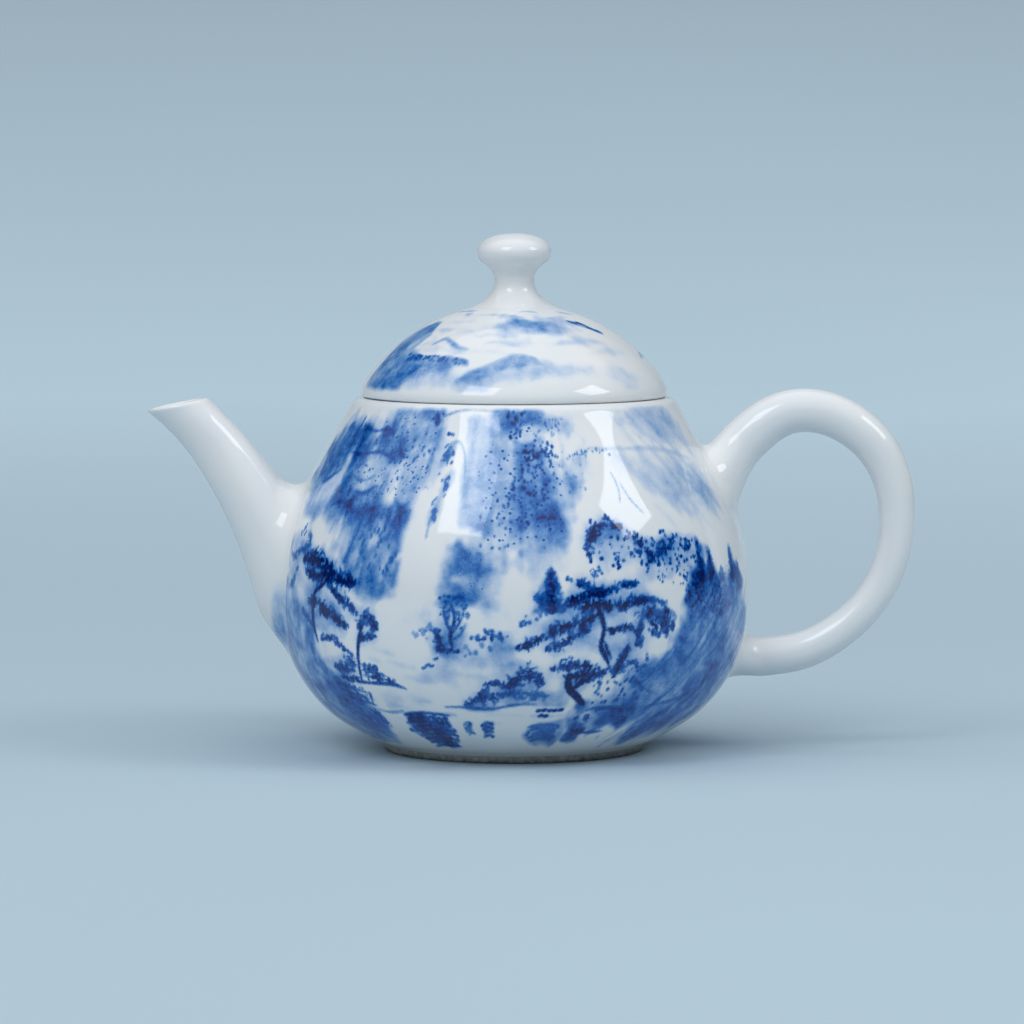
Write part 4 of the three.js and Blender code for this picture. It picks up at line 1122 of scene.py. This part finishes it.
def lid_front(sheet):
    """The side that faces the camera: a wooded shore, clouds and a hill."""
    # The wooded shore on the left.
    sheet.patch([(-78, 29), (-78, 27.7), (-76, 24.6), (-86, 20.6), (-77, 17.4), (-64, 15.8), (-54, 19),
                 (-57, 22.3), (-50, 23.5), (-35, 23.8), (-21, 24), (-20, 25), (-27, 26.2), (-37, 26.8),
                 (-48, 28.2), (-48, 29)], 0.46, edge=0.7, rough=0.5, mottled=0.5)
    sheet.patch([(-50, 27.8), (-36, 26.4), (-24, 25.8), (-22, 27.6), (-32, 28.9), (-50, 29)], 0.22,
                edge=1.0, rough=0.4)
    sheet.patch([(-72, 25.4), (-58, 23.4), (-40, 24), (-24, 24.4), (-36, 26.2), (-52, 27.4), (-66, 28)],
                0.3, edge=0.9, rough=0.6)
    sheet.patch([(-54, 27), (-48, 25.6), (-42, 24.6), (-37, 24.9), (-42, 26.2), (-50, 27.6)], 0.76,
                edge=0.6, rough=0.5)
    sheet.patch([(-62, 28.8), (-58, 27.6), (-50, 28), (-50, 28.8)], 0.5, edge=0.5, rough=0.4)
    sheet.patch([(-78, 24.6), (-66, 22.4), (-58, 22.4), (-62, 24), (-72, 26)], 0.4, edge=0.9)
    sheet.patch([(-80, 21), (-70, 17), (-62, 16.6), (-60, 19), (-66, 21), (-76, 22)], 0.3, edge=0.8)
    sheet.lift([(-58, 25.4), (-54, 25.6), (-56, 27), (-60, 26.8)], 0.4, edge=0.5)
    sheet.dots([(-56, 23.4), (-38, 23.6), (-22, 24.2), (-24, 25), (-40, 24.6), (-56, 24.6)], 60, size=0.5,
               tone=0.62)
    # Clouds.
    for outline, tone, edge in (
        ([(-34, 16.4), (-22, 15.4), (-8, 14.4), (6, 13.6), (20, 14.2), (32, 16.4), (26, 18.2), (6, 18.8),
          (-14, 19), (-28, 18)], 0.26, 1.5),
        ([(-14, 15.6), (0, 14.4), (14, 14.4), (22, 15.8), (8, 16.8), (-6, 17.4)], 0.2, 1.1),
        ([(-52, 14.6), (-36, 13.4), (-22, 13.6), (-28, 15.6), (-44, 16.4)], 0.3, 1.0),
        ([(-50, 11.6), (-20, 10.6), (4, 11), (2, 12.6), (-20, 12.8), (-44, 13)], 0.2, 1.0),
        ([(28, 16.6), (44, 18.4), (60, 21.4), (68, 24), (54, 23.6), (36, 21)], 0.07, 1.6),
        ([(-50, 26), (-24, 25.6), (-14, 26), (2, 25), (16, 26), (10, 28), (-16, 29), (-50, 29)], 0.2, 1.2),
        ([(-62, 23.6), (-40, 23.8), (-24, 24.6), (-27, 27), (-44, 28.6), (-64, 28.6)], 0.3, 0.8),
        ([(-40, 18.6), (-20, 19.6), (4, 19.8), (24, 20.6), (20, 21.6), (-10, 21.2), (-34, 20.2)], 0.13,
         1.2),
        ([(-24, 12.6), (6, 11.8), (34, 13), (48, 16), (30, 15), (4, 13.4), (-20, 14)], 0.14, 1.2),
        ([(20, 24.6), (44, 26), (60, 27.4), (40, 28), (16, 27)], 0.1, 1.2),
        ([(-50, 17), (-40, 18.4), (-30, 19.6), (-38, 20), (-52, 18.6)], 0.16, 0.9),
    ):
        sheet.patch(outline, tone, edge=edge, rough=0.8, mottled=0.45)
    for _ in range(46):
        a, r = sheet.draw.uniform(-54, 58), sheet.draw.uniform(11, 23)
        reach = sheet.draw.uniform(5, 15)
        sheet.stroke([(a - reach, r + 0.5), (a, r), (a + reach, r + 0.7)], 1.1,
                     sheet.draw.uniform(0.04, 0.14), soft=0.8, layer="wash")
    # The hill in the middle: a crisp crest over a wash that fades downhill.
    sheet.patch([(-24, 27.7), (-19, 26.5), (-13, 25.4), (-2, 23.5), (4, 23.2), (10, 23.9), (12, 25),
                 (0, 25.6), (-8, 26.4), (-15, 27.6)], 0.4, edge=0.45, rough=0.15, mottled=0.35)
    sheet.patch([(-24, 28), (-12, 25.8), (2, 24), (12, 24.2), (24, 25.2), (14, 26.8), (-4, 27.8),
                 (-18, 28.9)], 0.26, edge=1.2, rough=0.4)
    sheet.patch([(8, 24.2), (20, 24.8), (34, 25.6), (26, 27.4), (6, 27.4)], 0.14, edge=1.2, rough=0.4)
    for line, wide, tone in (
        ([(-23, 27.4), (-13, 25.4), (-2, 23.5), (4, 23.2), (9, 23.8)], 0.5, 0.34),
        ([(-51, 24), (-38, 23.9), (-29, 24), (-21, 24.4)], 0.6, 0.5),
        ([(-45, 21.2), (-41, 20), (-35, 20.6), (-30, 21.4)], 0.9, 0.5),
        ([(-33, 21.2), (-28, 21.9), (-23, 22.1)], 0.7, 0.5),
        ([(-28, 24.4), (-23, 24.4), (-20.6, 25)], 1.0, 0.5),
        ([(-70, 10.8), (-58, 10.2), (-46, 9.9)], 0.7, 0.5),
        ([(-52, 11.4), (-44, 11.2)], 0.7, 0.3),
        ([(4, 10.2), (14, 9.9), (24, 10.4)], 0.7, 0.34),
        ([(48, 10.4), (56, 11.2), (62, 12)], 0.6, 0.4),
        ([(-4, 15), (8, 14.2), (16, 15)], 0.8, 0.26),
        ([(44, 15), (52, 16.4), (60, 19)], 1.9, 0.46),
    ):
        sheet.stroke(line, wide, tone, soft=0.5, layer="wash")
    for line, wide, tone in (
        ([(42.6, 14.6), (45, 15), (48, 15.9)], 0.6, 0.75),
        ([(49, 15.2), (52.5, 15.9), (54.6, 17)], 0.9, 0.85),
        ([(52.6, 17), (56, 17.5), (58.6, 18.4)], 0.8, 0.8),
        ([(58, 17.8), (61.6, 18.8)], 0.8, 0.7),
    ):
        sheet.stroke(line, wide, tone)
    sheet.pepper([(-70, 24), (-30, 24), (-32, 28), (-66, 28)], 0.3)


def lid_back(sheet):
    """The side that faces away: two more hills and a few clouds."""
    sheet.patch([(98, 27.8), (108, 24.6), (120, 22.6), (134, 22), (146, 24), (156, 27.4), (136, 28.4),
                 (112, 28.6)], 0.46, edge=0.8, rough=0.8)
    sheet.patch([(112, 26), (126, 23.6), (134, 24.6), (124, 27.4)], 0.55, edge=0.7)
    sheet.stroke([(98, 27.6), (108, 24.6), (120, 22.6), (134, 22)], 0.6, 0.4)
    sheet.patch([(-176, 27.6), (-160, 25), (-148, 22.8), (-138, 22.6), (-128, 25.4), (-118, 27.8),
                 (-140, 28.6)], 0.36, edge=0.7, rough=0.6)
    sheet.patch([(-112, 20), (-100, 18.6), (-90, 19.6), (-98, 21.6)], 0.3, edge=0.9)
    sheet.patch([(150, 18.6), (164, 17), (180, 17.4), (192, 19.4), (174, 20.2)], 0.22, edge=1.2)
    sheet.stroke([(116, 16.4), (122, 15.6), (130, 16.8), (136, 18)], 1.4, 0.6, soft=0.5)
    sheet.stroke([(-142, 16.6), (-134, 15.8), (-126, 17)], 1.1, 0.45, soft=0.5)
    sheet.stroke([(76, 24.6), (84, 24), (92, 24.8)], 0.9, 0.3, soft=0.6)
    sheet.dots([(104, 27.6), (120, 23), (140, 24), (148, 27.6)], 40, size=0.6, tone=0.4)


def paint_lid():
    """The whole landscape on the lid."""
    sheet = Sheet(low=6.0, high=31.0, degree=0.38, seed=23)
    lid_front(sheet)
    lid_back(sheet)
    sheet.wash *= LID_THINNING
    # The bands at the rim and round the knob stay white.
    sheet.finish(smooth_step(29.0, 28.5, sheet.height) * smooth_step(8.2, 9.0, sheet.height))
    return sheet


# ---- Materials ----

def srgb(red, green, blue):
    """A linear colour from 0 to 255 values as a screen shows them."""
    shade = np.array([red, green, blue]) / 255
    return (*np.where(shade <= 0.04045, shade / 12.92, ((shade + 0.055) / 1.055) ** 2.4), 1)


GLAZE_WHITE = srgb(232, 235, 236)
COBALT = [  # how thick the cobalt lies, and its colour under the glaze
    (0.0, GLAZE_WHITE),
    (0.15, srgb(192, 209, 230)),
    (0.35, srgb(126, 165, 211)),
    (0.5, srgb(78, 133, 195)),
    (0.65, srgb(30, 104, 181)),
    (0.8, srgb(3, 76, 158)),
    (0.9, srgb(0, 47, 120)),
    (1.0, srgb(0, 21, 80)),
]


class Nodes:
    """Builds a material's nodes and links them."""

    def __init__(self, name):
        """A new material, with its shader and the places that its patterns follow."""
        self.material = bpy.data.materials.new(name)
        self.material.use_nodes = True
        self.tree = self.material.node_tree
        self.shader = self.tree.nodes["Principled BSDF"]
        self.place = self.tree.nodes.new("ShaderNodeTexCoord").outputs["Object"]

    def link(self, value, socket):
        """Feeds an input from another node's output, or with a plain value."""
        if isinstance(value, bpy.types.NodeSocket):
            self.tree.links.new(value, socket)
        else:
            socket.default_value = value

    def math(self, operation, first, second=0.0, clamp=False):
        """One step of arithmetic. With clamp, its result stays within 0 to 1."""
        node = self.tree.nodes.new("ShaderNodeMath")
        node.operation = operation
        node.use_clamp = clamp
        self.link(first, node.inputs[0])
        self.link(second, node.inputs[1])
        return node.outputs[0]

    def axes(self):
        """Where a place is along x, y and z, in metres."""
        node = self.tree.nodes.new("ShaderNodeSeparateXYZ")
        self.link(self.place, node.inputs[0])
        return node.outputs

    def noise(self, size, detail):
        """Noise from 0 to 1 with features about size millimetres wide."""
        node = self.tree.nodes.new("ShaderNodeTexNoise")
        self.link(self.place, node.inputs["Vector"])
        node.inputs["Scale"].default_value = 1 / (size * MM)
        node.inputs["Detail"].default_value = detail
        return node.outputs["Fac"]

    def ramp(self, value, stops):
        """Colours at positions from 0 to 1, looked up by value."""
        node = self.tree.nodes.new("ShaderNodeValToRGB")
        elements = node.color_ramp.elements
        elements.remove(elements[-1])
        elements[0].position, elements[0].color = stops[0]
        for position, colour in stops[1:]:
            elements.new(position).color = colour
        self.link(value, node.inputs[0])
        return node.outputs[0]

    def spread(self, value, low, high, start=0.0, end=1.0):
        """Value remapped from low..high to start..end."""
        node = self.tree.nodes.new("ShaderNodeMapRange")
        for name, number in (("From Min", low), ("From Max", high), ("To Min", start), ("To Max", end)):
            node.inputs[name].default_value = number
        self.link(value, node.inputs["Value"])
        return node.outputs["Result"]

    def varied(self, size, detail, start=0.0, end=1.0):
        """Noise that runs from about start to about end."""
        return self.spread(self.noise(size, detail), 0.3, 0.7, start, end)

    def mixed(self, share, first, second):
        """The first colour where share is 0, and the second where it is 1."""
        node = self.tree.nodes.new("ShaderNodeMix")
        node.data_type = "RGBA"
        self.link(share, node.inputs["Factor"])
        self.link(first, node.inputs["A"])
        self.link(second, node.inputs["B"])
        return node.outputs["Result"]

    def bump(self, height, depth):
        """The shading of relief that is depth millimetres deep."""
        node = self.tree.nodes.new("ShaderNodeBump")
        node.inputs["Distance"].default_value = depth * MM
        self.link(height, node.inputs["Height"])
        return node.outputs["Normal"]


def glaze(nodes, colour):
    """Clear glaze, a little uneven, over a fired body of the given colour."""
    shader = nodes.shader
    nodes.link(colour, shader.inputs["Base Color"])
    shader.inputs["IOR"].default_value = 1.5
    nodes.link(nodes.varied(1.2, 4, 0.03, 0.07), shader.inputs["Roughness"])
    waves = nodes.math("ADD", nodes.noise(9, 1), nodes.math("MULTIPLY", nodes.noise(1.5, 2), 0.12))
    nodes.link(nodes.bump(waves, 0.04), shader.inputs["Normal"])
    return nodes.material


def white_colour(nodes):
    """Porcelain white with faint clouds and a few pin specks."""
    clouded = nodes.ramp(nodes.varied(14, 3),
                         [(0.0, srgb(229, 233, 235)), (0.5, GLAZE_WHITE), (1.0, srgb(236, 237, 236))])
    specks = nodes.spread(nodes.noise(0.5, 1), 0.80, 0.84)
    return nodes.mixed(specks, clouded, srgb(196, 202, 205))


def white_porcelain():
    """The glaze over bare porcelain."""
    nodes = Nodes("white_glazed_porcelain")
    return glaze(nodes, white_colour(nodes))


WASH_STRENGTH = 0.8  # how dark the thickest wash is beside the thickest ink


def painted_porcelain():
    """The glaze over cobalt, as thick as the point colours say."""
    nodes = Nodes("cobalt_painted_porcelain")
    paint = nodes.tree.nodes.new("ShaderNodeAttribute")
    paint.attribute_name = "paint"
    layers = nodes.tree.nodes.new("ShaderNodeSeparateColor")
    nodes.link(paint.outputs["Color"], layers.inputs[0])
    wash, touched, ink = layers.outputs
    # Wash settles in soft grains and clouds.
    grain = nodes.varied(0.45, 4, 0.90, 1.10)
    cloud = nodes.varied(1.6, 3, 0.80, 1.20)
    wash = nodes.math("MULTIPLY", nodes.math("MULTIPLY", wash, grain), cloud)
    # Ink has a crisp, slightly torn edge where the brush touched, and bleeds a little past it.
    torn = nodes.math("ADD", touched, nodes.varied(0.32, 3, -0.19, 0.19))
    crisp = nodes.spread(torn, 0.16, 0.84)
    bled = nodes.math("MULTIPLY", touched, 0.55)
    cover = nodes.math("MAXIMUM", crisp, bled)
    pooled = nodes.varied(0.7, 3, 0.85, 1.35)
    ink = nodes.math("MULTIPLY", nodes.math("MULTIPLY", cover, ink), pooled, clamp=True)
    # Fine dots: round cells, larger where the pepper is thick.
    cells = nodes.tree.nodes.new("ShaderNodeTexVoronoi")
    nodes.link(nodes.place, cells.inputs["Vector"])
    cells.inputs["Scale"].default_value = 1 / (1.1 * MM)
    radius = nodes.math("MULTIPLY", paint.outputs["Alpha"], 0.5)
    reach = nodes.math("SUBTRACT", radius, cells.outputs["Distance"])
    dots = nodes.spread(reach, -0.02, 0.10, 0.0, 0.62)
    thin_wash = nodes.math("SUBTRACT", 1.0, nodes.math("MULTIPLY", wash, WASH_STRENGTH), clamp=True)
    bare = nodes.math("MULTIPLY", nodes.math("SUBTRACT", 1.0, ink), nodes.math("SUBTRACT", 1.0, dots))
    thick = nodes.math("SUBTRACT", 1.0, nodes.math("MULTIPLY", thin_wash, bare), clamp=True)
    cobalt = nodes.ramp(thick, COBALT)
    return glaze(nodes, nodes.mixed(nodes.spread(thick, 0.0, 0.12), white_colour(nodes), cobalt))


def foot_biscuit():
    """The unglazed foot: matt, with kiln grit, and with painted contact shadow that darkens it towards the
    table.
    """
    nodes = Nodes("unglazed_biscuit")
    height = nodes.math("ADD", nodes.axes()["Z"], nodes.varied(0.9, 5, -0.0005, 0.0005))
    # Painted contact shadow: the colour darkens over the lowest few mm, where the foot meets the table.
    colour = nodes.ramp(nodes.spread(height, 0.0, 0.0032),
                        [(0.0, srgb(92, 98, 97)), (0.4, srgb(158, 163, 161)), (1.0, srgb(206, 209, 207))])
    nodes.link(colour, nodes.shader.inputs["Base Color"])
    nodes.link(nodes.varied(0.4, 3, 0.6, 0.85), nodes.shader.inputs["Roughness"])
    nodes.link(nodes.bump(nodes.noise(0.2, 4), 0.015), nodes.shader.inputs["Normal"])
    return nodes.material


# ---- The paint that each piece carries ----

def sampled(sheet, azimuth, height):
    """The sheet's layers at places given in degrees and mm, as colours with alpha."""
    column = (azimuth + 180) / 360 * SHEET_COLUMNS
    row = np.clip((height - sheet.height[0]) / STEP, 0, len(sheet.height) - 1.001)
    left, below = np.floor(column).astype(int), row.astype(int)
    across, up = column - left, row - below
    left, right = left % SHEET_COLUMNS, (left + 1) % SHEET_COLUMNS
    colour = np.zeros((*azimuth.shape, 4))
    for i, layer in enumerate((sheet.wash, sheet.touched, sheet.ink, sheet.peppered)):
        low = layer[below, left] * (1 - across) + layer[below, right] * across
        high = layer[below + 1, left] * (1 - across) + layer[below + 1, right] * across
        colour[..., i] = np.clip(low * (1 - up) + high * up, 0, 1)
    return colour


def azimuth_of(points):
    """Degrees from the front towards the handle."""
    return np.degrees(np.arctan2(points[:, 0], -points[:, 1]))


def pot_paint(sheet, points, painted):
    """The paint at each point of the pot. Only its outside is painted."""
    return sampled(sheet, azimuth_of(points), points[:, 2]) * painted[:, None]


def spout_paint(sheet, points):
    """The landscape runs onto the spout's root and fades as the spout leaves the pot."""
    colour = sampled(sheet, azimuth_of(points), points[:, 2])
    away = np.hypot(points[:, 0], points[:, 1]) - np.interp(points[:, 2], POT_CURVE[:, 1], POT_CURVE[:, 0])
    colour *= (0.75 * smooth_step(2.6, 0.8, away) * smooth_step(36, 24, points[:, 2]))[:, None]
    return colour


def lid_paint(sheet, points, painted):
    """The paint at each point of the lid. Only its outside is painted."""
    return sampled(sheet, azimuth_of(points), np.hypot(points[:, 0], points[:, 1])) * painted[:, None]


# ---- The teapot ----

painted = painted_porcelain()
white = white_porcelain()
biscuit = foot_biscuit()
landscape = paint_pot()
lid_landscape = paint_lid()

pot, pot_outside = pot_shape()
spout = spout_shape()
lid, lid_outside = lid_shape()
pot_colours = pot_paint(landscape, pot[0], pot_outside)
spout_colours = spout_paint(landscape, spout[0])
lid_colours = lid_paint(lid_landscape, lid[0], lid_outside)
piece("pot", pot, painted, "pot", "pot_body", pot_colours)
piece("foot", closed_ring(FOOT_OUTLINE, 60, 240), biscuit, "pot", "foot_ring")
piece("spout_tube", spout, painted, "pot", "spout", spout_colours)
piece("handle_loop", handle_shape(), white, "pot", "handle")
piece("lid_dome", lid, painted, "lid", "lid", lid_colours)
piece("lid_locator", closed_ring(FLANGE_OUTLINE, 60, 240), white, "lid", "lid_flange")
piece("lid_knob", knob_shape(), white, "lid", "knob")

# The strainer stays as the CAD made it, in white.
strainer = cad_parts["strainer"].data
strainer.materials.clear()
strainer.materials.append(white)


# ---- Studio ----

# The camera and the windows were fitted to the photograph. Places are in metres.
CAMERA_DISTANCE = 1.007
CAMERA_PITCH = np.radians(4.4)
CAMERA_AIM = Vector((POT_X - 0.00044, 0, 0.04513))
CAMERA_LENS = 186.3
SKY_STRENGTH = 1.11
SKY_BRIGHTEST = (-0.12, -0.25, 1.0)
SWEEP_START = 0.35  # how far behind the pot the floor starts to rise
SWEEP_RADIUS = 1.9
POT_MIDDLE = (0, 0, 0.05)
DAYLIGHT = (0.93, 0.96, 1.0)


def add_camera():
    """The camera in front of the pot, looking down a little."""
    camera = bpy.data.cameras.new("camera")
    camera.lens = CAMERA_LENS
    obj = bpy.data.objects.new("camera", camera)
    back = Vector((0, -np.cos(CAMERA_PITCH), np.sin(CAMERA_PITCH)))
    obj.location = CAMERA_AIM + back * CAMERA_DISTANCE
    obj.rotation_euler = (np.pi / 2 - CAMERA_PITCH, 0, 0)
    bpy.context.scene.collection.objects.link(obj)
    bpy.context.scene.camera = obj


def add_area(name, position, aim, size, power, colour, roll=0.0):
    """A lit rectangle that faces aim, rolled by some degrees."""
    light = bpy.data.lights.new(name, "AREA")
    light.shape = "RECTANGLE"
    light.size, light.size_y = size
    light.energy = power
    light.color = colour
    obj = bpy.data.objects.new(name, light)
    obj.location = position
    facing = (Vector(aim) - Vector(position)).to_track_quat("-Z", "Y")
    obj.rotation_euler = (facing @ Quaternion((0, 0, 1), np.radians(roll))).to_euler()
    bpy.context.scene.collection.objects.link(obj)


def backdrop_paper():
    """Pale blue paper with painted shade: a little darker up the wall, and much darker far out to the sides
    and front, where the light falls off.
    """
    nodes = Nodes("backdrop_paper")
    axes = nodes.axes()
    height = nodes.math("ADD", axes["Z"], nodes.varied(500, 2, -0.01, 0.01))
    # Painted shade: the paper's colour steps down with height, standing in for light that falls off up the
    # wall.
    colour = nodes.ramp(nodes.spread(height, 0.0, 0.2),
                        [(0.0, (0.45, 0.575, 0.65, 1)), (0.15, (0.50, 0.64, 0.72, 1)),
                         (0.43, (0.42, 0.54, 0.61, 1)), (0.8, (0.345, 0.44, 0.50, 1))])
    # Painted shade: far out to the sides and front the paper turns dark, standing in for light that falls
    # off there.
    aside = nodes.spread(nodes.math("ABSOLUTE", axes["X"]), 0.28, 0.65)
    ahead = nodes.spread(axes["Y"], -0.32, -0.85)
    far = nodes.math("MAXIMUM", aside, ahead)
    nodes.link(nodes.mixed(far, colour, (0.18, 0.24, 0.285, 1)), nodes.shader.inputs["Base Color"])
    nodes.shader.inputs["Roughness"].default_value = 0.9
    return nodes.material


def add_backdrop():
    """A floor that sweeps up into a wall."""
    profile = [(-3.0, 0.0), (-1.0, 0.0)]
    for turn in np.linspace(0, np.pi / 2, 24):
        profile.append((SWEEP_START + SWEEP_RADIUS * np.sin(turn), SWEEP_RADIUS * (1 - np.cos(turn))))
    profile.append((SWEEP_START + SWEEP_RADIUS, 4.0))
    across = (-4.0, 0.0, 4.0)
    points = [(x, y, z) for y, z in profile for x in across]
    index = np.arange(len(points)).reshape(len(profile), len(across))
    corners = (index[:-1, :-1], index[:-1, 1:], index[1:, 1:], index[1:, :-1])
    faces = np.stack(corners, axis=-1).reshape(-1, 4).tolist()
    mesh = bpy.data.meshes.new("backdrop")
    mesh.from_pydata(points, [], faces)
    mesh.shade_smooth()
    mesh.materials.append(backdrop_paper())
    obj = bpy.data.objects.new("backdrop", mesh)
    bpy.context.scene.collection.objects.link(obj)


def add_world():
    """A big soft sky, brightest above and a little to the front and left."""
    world = bpy.data.worlds.new("studio")
    world.use_nodes = True
    tree = world.node_tree
    sky = tree.nodes.new("ShaderNodeTexCoord")
    towards = tree.nodes.new("ShaderNodeVectorMath")
    towards.operation = "DOT_PRODUCT"
    towards.inputs[1].default_value = Vector(SKY_BRIGHTEST).normalized()
    ramp = tree.nodes.new("ShaderNodeValToRGB")
    ramp.color_ramp.interpolation = "EASE"
    ramp.color_ramp.elements[0].position = 0.12
    ramp.color_ramp.elements[0].color = (0.03, 0.033, 0.038, 1)
    ramp.color_ramp.elements[1].position = 0.9
    ramp.color_ramp.elements[1].color = (0.95, 0.97, 1.0, 1)
    tree.links.new(sky.outputs["Generated"], towards.inputs[0])
    tree.links.new(towards.outputs["Value"], ramp.inputs[0])
    background = tree.nodes["Background"]
    tree.links.new(ramp.outputs[0], background.inputs["Color"])
    background.inputs["Strength"].default_value = SKY_STRENGTH
    bpy.context.scene.world = world


add_camera()
add_backdrop()
add_world()
add_area("window_right", (1.052, -0.383, 0.888), POT_MIDDLE, (0.50, 0.44), 3.3, DAYLIGHT, roll=16)
add_area("window_left", (-0.507, -0.847, 1.018), POT_MIDDLE, (0.52, 0.56), 3.7, DAYLIGHT)
add_area("wall_wash", (0, 0.75, 1.6), (0, 2.3, 1.1), (2.4, 0.4), 10, DAYLIGHT)
bpy.context.scene.view_settings.view_transform = "Standard"
